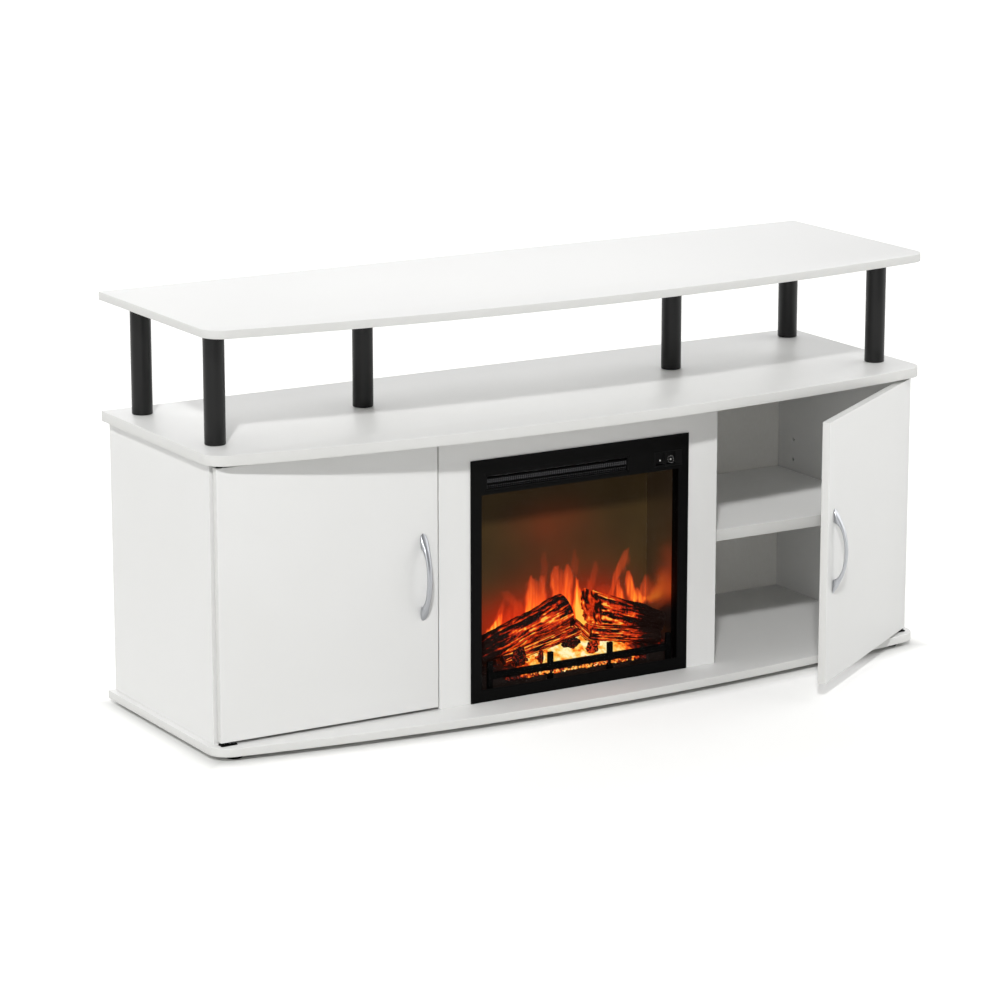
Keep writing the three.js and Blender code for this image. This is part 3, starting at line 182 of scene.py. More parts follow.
white_board = melamine("melamine_satin_white", "e3e3e2", "dfdfdd", PEARL_GRAIN_MM, 0.03)
# The inside white is the same melamine made brighter: painted light that lifts the shade in the compartments.
white_inside_painted_light = melamine("melamine_satin_white_painted_light", "fbfbfa", "f7f7f5", PEARL_GRAIN_MM, 0.03)
BAND_GRAIN_MM = 0.5
# The edge band is a little greyer than the faces and is darkened further as painted shade on the board and
# door edges.
white_edge_and_painted_shade = melamine("edge_band_satin_white_painted_shade", "d8d8d6", "d4d4d1", BAND_GRAIN_MM, 0.01)

# %% [markdown]
# ## Back panel foil
#
# The back panels are thin hardboard with a printed white paper on the side that shows. It
# is duller than melamine and a little yellower, with the fibre of the board telegraphing
# through it.

# %% Back panel foil
FIBRE_MM = 2.6


def paper_foil():
    """Printed paper with the fibres of the board in it, longer upwards than across."""
    material, tree, shader, place = new_material("paper_foil_matt_white", "f2f1ec", 0.62)
    stretched = add(tree, "ShaderNodeMapping", {"Vector": place, "Scale": (1.0, 1.0, 0.35)})
    fibre = add(tree, "ShaderNodeTexNoise", {
        "Vector": stretched.outputs["Vector"], "Scale": per_metre(FIBRE_MM), "Detail": 4.0, "Roughness": 0.6})
    two_tone(tree, shader, fibre.outputs["Fac"], "ebe9e3", "f8f7f3")
    relief(tree, shader, fibre.outputs["Fac"], 0.05, 0.5)
    return material


back_foil = paper_foil()

# %% [markdown]
# ## Black plastics and painted steel
#
# The blacks differ only in how they are made. The posts are extruded tubes, so they carry
# faint lines along their length. Moulded pieces have a fine spark-eroded grain, which is
# nearly polished away on the rockers. Powder coat on steel flows into a gentle orange peel.
# Real grain is about 0.1 mm wide and real drawing lines are about 0.4 mm apart. Both are too
# fine to show, so they are drawn four to eight times as coarse.

# %% Black posts
EXTRUSION_LINE_MM = 1.6
DUST_PATCH_MM = 30.0


def extruded_black():
    """A black tube with faint lines along it and a little dust."""
    material, tree, shader, place = new_material("pvc_extruded_black", "0e0e0e", 0.34)
    shader.inputs["Specular IOR Level"].default_value = 0.3
    lines = add(tree, "ShaderNodeMapping", {"Vector": place, "Scale": (1.0, 1.0, 0.02)})
    drawn = add(tree, "ShaderNodeTexNoise", {
        "Vector": lines.outputs["Vector"], "Scale": per_metre(EXTRUSION_LINE_MM), "Detail": 3.0})
    dust = add(tree, "ShaderNodeTexNoise", {
        "Vector": place, "Scale": per_metre(DUST_PATCH_MM), "Detail": 4.0})
    two_tone(tree, shader, dust.outputs["Fac"], "0b0b0b", "121212")
    uneven_gloss(tree, shader, drawn.outputs["Fac"], 0.28, 0.42)
    relief(tree, shader, drawn.outputs["Fac"], 0.02, 0.6)
    return material


post_black = extruded_black()


# %% Moulded plastics and powder coat
HANDLED_PATCH_MM = 60.0


def grained(name, colour, roughness, grain_mm, depth_mm, shine=0.3):
    """Moulded or powder-coated, with a grain of that size and depth and patches of other gloss."""
    material, tree, shader, place = new_material(name, colour, roughness)
    shader.inputs["Specular IOR Level"].default_value = shine
    grain = add(tree, "ShaderNodeTexNoise", {"Vector": place, "Scale": per_metre(grain_mm), "Detail": 2.0})
    broad = add(tree, "ShaderNodeTexNoise", {
        "Vector": place, "Scale": per_metre(HANDLED_PATCH_MM), "Detail": 2.0})
    uneven_gloss(tree, shader, broad.outputs["Fac"], roughness - 0.06, roughness + 0.08)
    relief(tree, shader, grain.outputs["Fac"], depth_mm, 0.6)
    return material


moulded_black = grained("abs_moulded_black", "070707", 0.48, 0.5, 0.02, 0.09)
coated_black = grained("powder_coat_black", "050505", 0.45, 1.4, 0.02, 0.06)
switch_black = grained("abs_polished_black", "060606", 0.34, 0.8, 0.004, 0.06)
moulded_grey = grained("polyamide_moulded_grey", "464648", 0.5, 0.5, 0.02)
moulded_white = grained("polyamide_moulded_white", "dcdcda", 0.45, 0.5, 0.02)

# %% [markdown]
# ## Metals
#
# The pulls are die-cast zinc with a satin silver plating, brushed before it is plated: the
# strokes run along the pull and blur its highlight. Sheet steel is zinc plated and shows
# faint spangles, and the fins and flags are bare rolled aluminium. Real strokes are about
# 0.1 mm wide, too fine to show, so they are drawn four to eight times as wide.


# %% Metals
def brushed_metal(name, dark, light, roughness, stroke_mm, along):
    """along is the axis the strokes follow, 0 for X, 1 for Y and 2 for Z."""
    material, tree, shader, place = new_material(name, light, roughness, metallic=1.0)
    squeeze = [1.0, 1.0, 1.0]
    squeeze[along] = 0.04
    mapped = add(tree, "ShaderNodeMapping", {"Vector": place, "Scale": squeeze})
    strokes = add(tree, "ShaderNodeTexNoise", {
        "Vector": mapped.outputs["Vector"], "Scale": per_metre(stroke_mm), "Detail": 4.0, "Roughness": 0.6})
    two_tone(tree, shader, strokes.outputs["Fac"], dark, light)
    uneven_gloss(tree, shader, strokes.outputs["Fac"], roughness - 0.06, roughness + 0.08)
    relief(tree, shader, strokes.outputs["Fac"], 0.01, 0.5)
    return material


SPANGLE_MM = 4.0
SCUFF_MM = 4.0


def spangled_steel():
    """Zinc-plated sheet: spangles of other tone and gloss, and fine scuffs."""
    material, tree, shader, place = new_material("steel_sheet_zinc_plated", "aeb1b5", 0.36, metallic=1.0)
    spangle = add(tree, "ShaderNodeTexVoronoi", {
        "Vector": place, "Scale": per_metre(SPANGLE_MM), "Randomness": 1.0})
    grey = add(tree, "ShaderNodeSeparateColor", {"Color": spangle.outputs["Color"]})
    two_tone(tree, shader, grey.outputs["Red"], "a6a9ad", "b4b7bb")
    uneven_gloss(tree, shader, grey.outputs["Green"], 0.36, 0.44)
    scuffs = add(tree, "ShaderNodeTexNoise", {"Vector": place, "Scale": per_metre(SCUFF_MM), "Detail": 4.0})
    relief(tree, shader, scuffs.outputs["Fac"], 0.02, 0.4)
    return material


satin_silver = brushed_metal("zinc_casting_satin_silver", "9fa1a5", "c4c6ca", 0.3, 0.6, 2)
zinc_fastener = brushed_metal("steel_turned_zinc_plated", "a4a6a9", "c6c8cb", 0.3, 0.4, 2)
rolled_aluminium = brushed_metal("aluminium_rolled_bare", "a9abad", "cfd0d2", 0.32, 0.8, 0)
zinc_sheet = spangled_steel()

# %% [markdown]
# ## Putting meshes together
#
# Each piece is one bmesh that ends in `finish_piece`: doubles are merged, faces are turned
# outwards, shading is smooth up to a given angle, the piece is hung on the body it moves
# with, and the model nodes it replaces are hidden. `block` and `turning` are the two shapes
# that come back most: a box with eased edges, and a profile spun round an axis. A model node
# whose shape is kept is only given a finish, with `paint`. The functions for numbers shape
# the pulls and spread the light of the fire.


# %% Finishing a piece
DOUBLES = 0.002 * MM


def finish_piece(name, shape, body, material, replaced=(), crease=35.0):
    """Makes an object of a bmesh. crease is the angle in degrees past which an edge stays sharp."""
    bmesh.ops.remove_doubles(shape, verts=shape.verts, dist=DOUBLES)
    bmesh.ops.recalc_face_normals(shape, faces=shape.faces)
    limit = math.radians(crease)
    for face in shape.faces:
        face.smooth = True
    for edge in shape.edges:
        edge.smooth = len(edge.link_faces) == 2 and edge.calc_face_angle(0.0) < limit
    mesh = bpy.data.meshes.new(name)
    shape.to_mesh(mesh)
    shape.free()
    for each in material if isinstance(material, (list, tuple)) else [material]:
        mesh.materials.append(each)
    piece = bpy.data.objects.new(name, mesh)
    bpy.context.scene.collection.objects.link(piece)
    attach(piece, body)
    if replaced:
        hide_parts(*replaced)
    print(f"{name}: {len(mesh.polygons)} faces")


def paint(node, material):
    """Gives a model node, whose shape stays as it is, a finish."""
    mesh = frame["nodes"][node].data
    mesh.materials.clear()
    mesh.materials.append(material)
    print(f"{node}: {material.name}")


# %% Helpers for meshes
def place_new(shape, before, matrix):
    """Moves what was added to a bmesh since before, a set of its vertices."""
    fresh = [vert for vert in shape.verts if vert not in before]
    bmesh.ops.transform(shape, matrix=matrix, verts=fresh)
    return fresh


def ease(shape, edges, radius, segments):
    """Rounds edges with a bevel."""
    bmesh.ops.bevel(shape, geom=edges, offset=radius, offset_type="OFFSET", segments=segments,
                    profile=0.5, affect="EDGES", clamp_overlap=True, material=-1)


def thicken(shape, faces, step):
    """Pulls faces out by a step and keeps the first ones as the other side of the board."""
    raised = bmesh.ops.extrude_face_region(shape, geom=faces, use_keep_orig=True)["geom"]
    moved = [part for part in raised if isinstance(part, bmesh.types.BMVert)]
    bmesh.ops.translate(shape, vec=step, verts=moved)


def block(shape, low, high, edge=0.0, segments=2):
    """A box between two corners, with its edges eased by a bevel."""
    low, high = Vector(low), Vector(high)
    matrix = Matrix.Translation((low + high) / 2) @ Matrix.Diagonal((*(high - low), 1.0))
    made = bmesh.ops.create_cube(shape, size=1.0, matrix=matrix)["verts"]
    if edge > 0:
        ease(shape, list(dict.fromkeys(e for vert in made for e in vert.link_edges)), edge, segments)


def turning(shape, profile, matrix, steps=48):
    """Spins a profile of (radius, height) points round Z, then moves it by matrix."""
    before = set(shape.verts)
    line = [shape.verts.new((radius, 0.0, height)) for radius, height in profile]
    edges = [shape.edges.new(pair) for pair in zip(line, line[1:])]
    bmesh.ops.spin(shape, geom=line + edges, cent=(0, 0, 0), axis=(0, 0, 1), dvec=(0, 0, 0),
                   angle=math.tau, steps=steps, use_merge=True, use_duplicate=False)
    fresh = place_new(shape, before, matrix)
    bmesh.ops.remove_doubles(shape, verts=fresh, dist=DOUBLES)


def eased(profile, corner, radius, steps=4):
    """Replaces one corner of a profile by an arc of that radius."""
    here = Vector(profile[corner])
    before = (Vector(profile[corner - 1]) - here).normalized()
    after = (Vector(profile[corner + 1]) - here).normalized()
    half = before.angle(after) / 2
    centre = here + (before + after).normalized() * radius / math.sin(half)
    start = here + before * radius / math.tan(half) - centre
    end = here + after * radius / math.tan(half) - centre
    arc = [centre + start.slerp(end, i / steps) * radius for i in range(steps + 1)]
    return profile[:corner] + [tuple(point) for point in arc] + profile[corner + 1:]


# %% Helpers for numbers
def within(value, low=0.0, high=1.0):
    """A value that is kept between low and high."""
    return min(max(value, low), high)


def s_curve(value):
    """Rises softly from 0 to 1 while a value goes from 0 to 1."""
    part = within(value)
    return part * part * (3 - 2 * part)


def bell(value, middle, reach, power=2):
    """1 at the middle and less on both sides of it. A higher power keeps the top flatter."""
    return math.exp(-((value - middle) / reach) ** power)


SIDES = {"left": -1, "right": 1}

# %% [markdown]
# ## The three boards
#
# Base, cabinet top and top board have one outline: straight behind, a long shallow bow in
# front and rounded front corners that run smoothly into it. One vertex spun round three
# centres in turn draws the whole front. The outline is filled, pulled up to the board's
# thickness, and its rims are eased as an edge-banding machine does.

# %% Outline of the boards
BOW_RADIUS = 3.4
CORNER_RADIUS = 32 * MM
CORNER_STEPS = 14
BOW_STEPS = 96
BOARD_EDGE = 0.8 * MM


def board(name):
    """A bow-fronted board in the place of a model node, with banded edges."""
    low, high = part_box(name)
    half_width, back = high.x, high.y
    bow_centre = Vector((0.0, low.y + BOW_RADIUS, low.z))
    corner_x = half_width - CORNER_RADIUS
    corner_y = bow_centre.y - math.sqrt((BOW_RADIUS - CORNER_RADIUS) ** 2 - corner_x ** 2)
    sweep = math.atan2(corner_x, bow_centre.y - corner_y)
    shape = bmesh.new()
    turns = [
        (Vector((-corner_x, corner_y, low.z)), math.pi / 2 - sweep, CORNER_STEPS),
        (bow_centre, 2 * sweep, BOW_STEPS),
        (Vector((corner_x, corner_y, low.z)), math.pi / 2 - sweep, CORNER_STEPS),
    ]
    start = shape.verts.new((-half_width, back, low.z))
    tip = shape.verts.new((-half_width, corner_y, low.z))
    shape.edges.new((start, tip))
    for centre, angle, steps in turns:
        spun = bmesh.ops.spin(shape, geom=[tip], cent=centre, axis=(0, 0, 1), dvec=(0, 0, 0),
                              angle=angle, steps=steps, use_merge=False, use_duplicate=False)
        tip = next(part for part in spun["geom_last"] if isinstance(part, bmesh.types.BMVert))
    end = shape.verts.new((half_width, back, low.z))
    shape.edges.new((tip, end))
    shape.edges.new((end, start))
    outline = bmesh.ops.contextual_create(shape, geom=shape.edges[:])["faces"]
    thicken(shape, outline, (0, 0, high.z - low.z))
    rims = [e for e in shape.edges if abs(e.verts[0].co.z - e.verts[1].co.z) < 1e-6]
    ease(shape, rims, BOARD_EDGE, 3)
    shape.normal_update()
    for side in shape.faces:
        side.material_index = 1 if abs(side.normal.z) < 0.5 else 0
    finish_piece(f"{name}_finished", shape, "cabinet", [white_board, white_edge_and_painted_shade], [name])


# %% Boards
for board_name in ("top_board", "cabinet_top", "base_board"):
    board(board_name)

# %% [markdown]
# ## Flat panels
#
# Side panels, partitions, back panels, shelves and the surround are flat boards whose shape
# in the model is already right, with their pin holes and dowels. They only get their finish:
# partitions and shelves a brighter white than outside, painted light in the compartments,
# and the shelves the thin band that covers their front edge, whose darker white is partly its
# own tone and partly painted shade.

# %% Flat panels
for side_name in SIDES:
    paint(f"side_panel_{side_name}", white_board)
    # Partitions and shelves get the brighter inside white, painted light.
    paint(f"partition_{side_name}", white_inside_painted_light)
    paint(f"shelf_{side_name}", white_inside_painted_light)
    paint(f"back_panel_{side_name}", back_foil)
paint("fire_surround", white_board)
# The shelf band is darker than the shelf: partly the band's own tone and partly painted shade on the shelf
# fronts.
shelf_band_painted_shade = melamine("edge_band_white_painted_shade", "d3d3d1", "cececb", BAND_GRAIN_MM, 0.01)
BAND = 0.4 * MM
for side_name in SIDES:
    shelf_low, shelf_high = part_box(f"shelf_{side_name}")
    band = bmesh.new()
    block(band, (shelf_low.x, shelf_low.y - BAND, shelf_low.z),
          (shelf_high.x, shelf_low.y, shelf_high.z), 0.1 * MM)
    finish_piece(f"shelf_band_painted_shade_{side_name}", band, "cabinet", shelf_band_painted_shade)

# %% [markdown]
# ## Posts
#
# Each post is a black tube that stands on the cabinet top and carries the top board, with a
# small rounding at both ends. A bolt goes up through it: its head shows under the cabinet
# top and its stud is hidden in the top board. The whole turning is one spun profile.

# %% Posts
POST_ROUND = 1.6 * MM
BOLT_RADIUS = 3.5 * MM
BOLT_HEAD_RADIUS = 7 * MM
BOLT_HEAD = 2.7 * MM
BOLT_HEAD_ROUND = 0.8 * MM


def foot_of(low, high):
    """The matrix that stands a turning in the middle of the floor of a box."""
    return Matrix.Translation(((low.x + high.x) / 2, (low.y + high.y) / 2, low.z))


def post(name):
    """A post and its bolt in the place of a model node, as one turning."""
    low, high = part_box(name)
    radius = (high.y - low.y) / 2
    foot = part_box("cabinet_top")[1].z - low.z
    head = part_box("top_board")[0].z - low.z
    end = high.z - low.z
    tube = [(BOLT_RADIUS, foot), (radius, foot), (radius, head), (BOLT_RADIUS, head)]
    tube = eased(eased(tube, 2, POST_ROUND), 1, POST_ROUND)
    under = [(0.0, 0.0), (BOLT_HEAD_RADIUS, 0.0), (BOLT_HEAD_RADIUS, BOLT_HEAD), (BOLT_RADIUS, BOLT_HEAD)]
    under = eased(under, 1, BOLT_HEAD_ROUND)
    shape = bmesh.new()
    turning(shape, under + tube + [(BOLT_RADIUS, end), (0.0, end)], foot_of(low, high), 64)
    finish_piece(f"{name}_turned", shape, "cabinet", post_black, [name])


for post_name in [node for node in frame["nodes"] if node.startswith("post_")]:
    post(post_name)

# %% [markdown]
# ## Glides
#
# Four round black glides lift the base board off the floor. Each is moulded with a soft
# lower rim, so that it slides over a carpet.

# %% Glides
GLIDE_STEM_RADIUS = 2.5 * MM
GLIDE_GAP = 0.3 * MM
GLIDE_ROUNDS = (2.0 * MM, 0.6 * MM)


def glide(name):
    """A glide and its stem in the place of a model node, as one turning."""
    low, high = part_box(name)
    radius = (high.y - low.y) / 2
    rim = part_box("base_board")[0].z - low.z - GLIDE_GAP
    lower_round, upper_round = GLIDE_ROUNDS
    profile = [(0.0, 0.0), (radius, 0.0), (radius, rim), (GLIDE_STEM_RADIUS, rim)]
    profile = eased(eased(profile, 2, upper_round), 1, lower_round)
    profile += [(GLIDE_STEM_RADIUS, high.z), (0.0, high.z)]
    shape = bmesh.new()
    turning(shape, profile, foot_of(low, high), 40)
    finish_piece(f"{name}_moulded", shape, "cabinet", moulded_black, [name])


for glide_name in [node for node in frame["nodes"] if node.startswith("glide_")]:
    glide(glide_name)

# %% [markdown]
# ## Doors
#
# A door is a flat board that turns on a pin at its top and one at its bottom. Both doors
# are made closed, measured from the left one and mirrored for the right one, and the right
# one is then turned open about its own hinge.

# %% Where the doors hang
REST_OPEN = {"left": 0.0, "right": math.radians(34)}
hinges = [joint for joint in frame["joints"] if joint["name"].endswith("hinge")]
hinge_at = {joint["child"]: Vector(joint["pos_m"]) for joint in hinges}
left_low, left_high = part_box("door_left")
slab_low = left_low - hinge_at["left_door"]
slab_high = left_high - hinge_at["left_door"]
slab_low.z, slab_high.z = left_low.z, left_high.z


def hung(side):
    """The matrix that hangs a closed door, drawn from its pivot and from the floor."""
    pivot = hinge_at[f"{side}_door"]
    turn = Matrix.Rotation(REST_OPEN[side], 4, "Z")
    return Matrix.Translation((pivot.x, pivot.y, 0.0)) @ turn @ Matrix.Diagonal((-SIDES[side], 1.0, 1.0, 1.0))


# %% Door slabs
for side_name in SIDES:
    slab = bmesh.new()
    block(slab, slab_low, slab_high, BOARD_EDGE, 3)
    slab.normal_update()
    for slab_face in slab.faces:
        slab_face.material_index = 0 if abs(slab_face.normal.y) > 0.5 else 1
    place_new(slab, set(), hung(side_name))
    finish_piece(f"door_{side_name}_slab", slab, f"{side_name}_door", [white_board, white_edge_and_painted_shade],
                 [f"door_{side_name}"])

# %% [markdown]
# ## Bow pulls
#
# The pull is an arch. From the side its outer edge is one arc from tip to tip, and its inner
# edge is half an ellipse between the feet, so that each foot is a wedge. From the front it
# is slim in the middle, swells to a leaf at each foot and ends in a point. Rings of one
# rounded section are stepped along the door, closer together near the tips, and bridged.

# %% Shape of the pull
PULL_LENGTH = 127 * MM
PULL_PROJECTION = 21.5 * MM
GRIP_WIDTH = 8 * MM
GRIP_THICKNESS = 4.5 * MM
FOOT_WIDTH = 12.5 * MM
FOOT_LENGTH = 21 * MM
FOOT_SWELL = 24 * MM
FOOT_SWELL_BEFORE = 14 * MM
FOOT_POINT = 0.62
TIP_LEAST = 0.004
FOOT_THINNEST = 0.6 * MM
PULL_HEIGHT = 220 * MM
PULL_RINGS = 72
PULL_SIDES = 28
SECTION_FULLNESS = 2.6


def pull_section(along):
    """Half width, inner and outer height of the pull at a distance from its middle."""
    half = PULL_LENGTH / 2
    arc = (half ** 2 + PULL_PROJECTION ** 2) / (2 * PULL_PROJECTION)
    inner_half = half - FOOT_LENGTH
    reach = abs(along)
    outer = math.sqrt(arc ** 2 - along ** 2) - arc + PULL_PROJECTION
    inner = 0.0
    if reach < inner_half:
        inner = (PULL_PROJECTION - GRIP_THICKNESS) * math.sqrt(1 - (along / inner_half) ** 2)
    swell = s_curve((reach - inner_half + FOOT_SWELL_BEFORE) / FOOT_SWELL) * (FOOT_WIDTH - GRIP_WIDTH)
    tip = within((half - reach) / (FOOT_LENGTH * FOOT_POINT), TIP_LEAST)
    width = (GRIP_WIDTH + swell) * math.sqrt(tip * (2 - tip))
    return width / 2, inner, max(outer, inner + FOOT_THINNEST)


def pull_ring(shape, along):
    """A ring of the pull's rounded section, across it at a distance from its middle."""
    half_width, inner, outer = pull_section(along)
    ring = bmesh.ops.create_circle(shape, cap_ends=False, radius=1.0, segments=PULL_SIDES)["verts"]
    for vert in ring:
        across, out = (math.copysign(abs(c) ** (2 / SECTION_FULLNESS), c) for c in (vert.co.x, vert.co.y))
        middle, half = (inner + outer) / 2, (outer - inner) / 2
        vert.co = Vector((half_width * across, -(middle + half * out), along))
    return list(dict.fromkeys(edge for vert in ring for edge in vert.link_edges))


# %% Pulls and their screws
PULL_FROM_EDGE = 24.5 * MM
PULL_HOLES = 96 * MM
SCREW_HEAD_RADIUS = 4.2 * MM
SCREW_HEAD = 2.5 * MM
SCREW_HEAD_ROUND = 1.6 * MM
SEAT = 0.3 * MM
pull_x = slab_high.x - PULL_FROM_EDGE


def facing_back(point):
    """The matrix of a screw whose head looks to the back, with its seat at a point."""
    return Matrix.Translation(point) @ Matrix.Rotation(-math.pi / 2, 4, "X")


def pan_head(shape, matrix):
    """A pan head with its seat on Z = 0."""
    profile = [(0.0, SCREW_HEAD), (SCREW_HEAD_RADIUS, SCREW_HEAD), (SCREW_HEAD_RADIUS, 0.0), (0.0, 0.0)]
    turning(shape, eased(profile, 1, SCREW_HEAD_ROUND, 5), matrix, 32)


for side_name in SIDES:
    pull = bmesh.new()
    rings = [pull_ring(pull, PULL_LENGTH / 2 * math.sin(math.pi * (i / PULL_RINGS - 0.5)))
             for i in range(PULL_RINGS + 1)]
    for ring_a, ring_b in zip(rings, rings[1:]):
        bmesh.ops.bridge_loops(pull, edges=ring_a + ring_b)
    for ring_edges in (rings[0], rings[-1]):
        bmesh.ops.edgeloop_fill(pull, edges=ring_edges)
    place_new(pull, set(), Matrix.Translation((pull_x, slab_low.y - SEAT, PULL_HEIGHT)))
    for hole in (-PULL_HOLES / 2, PULL_HOLES / 2):
        pan_head(pull, facing_back((pull_x, slab_high.y, PULL_HEIGHT + hole)))
    place_new(pull, set(), hung(side_name))
    finish_piece(f"pull_{side_name}_plated", pull, f"{side_name}_door", satin_silver,
                 [f"pull_{side_name}"], crease=50.0)

# %% [markdown]
# ## Door fittings
#
# Each door turns on two steel pins that stand on small black plates, screwed to the boards
# above and below it. A steel strike on its back meets a magnetic catch under the cabinet
# top: a white plastic case with two steel tongues that carry the magnet's pull.

# %% Pivot plates with their pins
PIVOT_PLATE = 2 * MM
PIVOT_SHOULDER = (4 * MM, 1.7 * MM)
PIVOT_PIN_RADIUS = 2 * MM
PIVOT_SCREWS = (9 * MM, 15 * MM)
PIN_CHAMFER = 0.6 * MM
SMALL_SCREW_RADIUS = 2.4 * MM
SMALL_SCREW_HEAD = 0.9 * MM


def small_head(shape, radius, height, matrix):
    """A low round screw or nail head whose seat is on Z = 0."""
    turning(shape, [(0.0, height), (radius * 0.55, height * 0.92), (radius, height * 0.3), (radius, 0.0),
                    (0.0, 0.0)], matrix, 16)


pivot_screws = bmesh.new()
for side_name, sign in SIDES.items():
    pivot = hinge_at[f"{side_name}_door"]
    for level, inward in (("top", -1), ("bottom", 1)):
        low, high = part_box(f"pivot_bracket_{level}_{side_name}")
        seat_z = high.z if inward < 0 else low.z
        plate_z = seat_z + inward * PIVOT_PLATE
        plate = bmesh.new()
        block(plate, (low.x, low.y, min(seat_z, plate_z)), (high.x, high.y, max(seat_z, plate_z)), 0.4 * MM)
        facing = Matrix.Diagonal((1.0, 1.0, inward, 1.0))
        stand_at = Matrix.Translation((pivot.x, pivot.y, plate_z)) @ facing
        shoulder_radius, shoulder_height = PIVOT_SHOULDER
        pin_height = (high.z - low.z) - PIVOT_PLATE
        pin = [(0.0, 0.0), (shoulder_radius, 0.0), (shoulder_radius, shoulder_height),
               (PIVOT_PIN_RADIUS, shoulder_height), (PIVOT_PIN_RADIUS, pin_height - PIN_CHAMFER),
               (PIVOT_PIN_RADIUS - PIN_CHAMFER, pin_height), (0.0, pin_height)]
        turning(plate, pin, stand_at, 24)
        finish_piece(f"pivot_plate_{level}_{side_name}", plate, "cabinet", coated_black,
                     [f"pivot_bracket_{level}_{side_name}"])
        for offset in PIVOT_SCREWS:
            screw_at = Matrix.Translation((pivot.x - sign * offset, (low.y + high.y) / 2, plate_z)) @ facing
            small_head(pivot_screws, SMALL_SCREW_RADIUS, SMALL_SCREW_HEAD, screw_at)
finish_piece("pivot_plate_screws", pivot_screws, "cabinet", zinc_fastener)

# %% Strikes
STRIKE_SCREWS = 10 * MM
FLAT_HEAD = 0.25 * MM
strike_low, strike_high = (corner - hinge_at["left_door"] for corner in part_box("strike_plate_left"))
strike_low.z, strike_high.z = (corner.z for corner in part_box("strike_plate_left"))


def door_strike(side):
    """The steel strike on the back of a door, with its two screws."""
    strike = bmesh.new()
    block(strike, strike_low, strike_high, 0.3 * MM)
    middle = (strike_low + strike_high) / 2
    for offset in (-STRIKE_SCREWS, STRIKE_SCREWS):
        screw_at = Vector((middle.x + offset, strike_high.y, middle.z))
        small_head(strike, SMALL_SCREW_RADIUS, FLAT_HEAD, facing_back(screw_at))
    place_new(strike, set(), hung(side))
    finish_piece(f"strike_{side}_pressed", strike, f"{side}_door", zinc_sheet,
                 [f"strike_plate_{side}"])


# %% Catches
CATCH_HALF = 17 * MM
CATCH_FRONT = 0.8 * MM
EAR_HALF = 4 * MM
EAR_THICKNESS = 2.5 * MM
TONGUE_HALF = 13 * MM
TONGUE_DEPTH = 4 * MM
TONGUE_APART = 3 * MM
TONGUE_HALF_THICKNESS = 0.6 * MM
CATCH_SCREWS = 20.5 * MM


def door_catch(side):
    """A catch under the cabinet top: its plastic case, then its steel tongues and screws."""
    low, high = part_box(f"magnetic_catch_{side}")
    middle = (low + high) / 2
    case = bmesh.new()
    block(case, (middle.x - CATCH_HALF, low.y + CATCH_FRONT, low.z),
          (middle.x + CATCH_HALF, high.y, high.z), 1 * MM, 3)
    block(case, (low.x, middle.y - EAR_HALF, high.z - EAR_THICKNESS),
          (high.x, middle.y + EAR_HALF, high.z), 0.6 * MM, 3)
    finish_piece(f"catch_{side}_case", case, "cabinet", moulded_white,
                 [f"magnetic_catch_{side}"])
    tongues = bmesh.new()
    for tongue_z in (middle.z - TONGUE_APART, middle.z + TONGUE_APART):
        block(tongues, (middle.x - TONGUE_HALF, low.y, tongue_z - TONGUE_HALF_THICKNESS),
              (middle.x + TONGUE_HALF, low.y + TONGUE_DEPTH, tongue_z + TONGUE_HALF_THICKNESS), 0.2 * MM)
    for offset in (-CATCH_SCREWS, CATCH_SCREWS):
        hang = Matrix.Translation((middle.x + offset, middle.y, high.z - EAR_THICKNESS))
        downwards = Matrix.Diagonal((1.0, 1.0, -1.0, 1.0))
        small_head(tongues, SMALL_SCREW_RADIUS, SMALL_SCREW_HEAD, hang @ downwards)
    finish_piece(f"catch_{side}_tongues", tongues, "cabinet", zinc_sheet)


# %% Bushes, strikes and catches of both doors
for side_name in SIDES:
    for level in ("top", "bottom"):
        paint(f"bush_{level}_{side_name}", moulded_black)
    door_strike(side_name)
    door_catch(side_name)

# %% [markdown]
# ## Pin holes and nails
#
# The uprights are drilled in rows for the pins that a shelf lies on. Raw particleboard shows
# in the holes that are free, as a small disc sunk in each, painted nearly black: the brown of
# the board and painted shade deep in the hole. The back panels are nailed all round, at one
# even pitch that starts and ends in a corner.

# %% Raw board in the holes for shelf pins, darkened with painted shade
HOLE_RADIUS = 2.6 * MM
HOLE_ROWS = (138.5 * MM, 170.5 * MM, 234.5 * MM, 266.5 * MM)
HOLE_INSET = 45 * MM
HOLE_BOTTOM = 0.15 * MM
DISC_THICKNESS = 1 * MM
CHIP_MM = 0.9


def raw_board_painted_shade():
    """Drilled particleboard: chips of wood, dull and rough, painted nearly black for the shade in the hole.
    """
    material, tree, shader, place = new_material("particleboard_drilled_painted_shade", "16100b", 0.9)
    chips = add(tree, "ShaderNodeTexVoronoi", {"Vector": place, "Scale": per_metre(CHIP_MM)})
    grey = add(tree, "ShaderNodeSeparateColor", {"Color": chips.outputs["Color"]})
    two_tone(tree, shader, grey.outputs["Red"], "0e0a07", "1e1610")
    relief(tree, shader, grey.outputs["Red"], 0.2, 0.8)
    return material


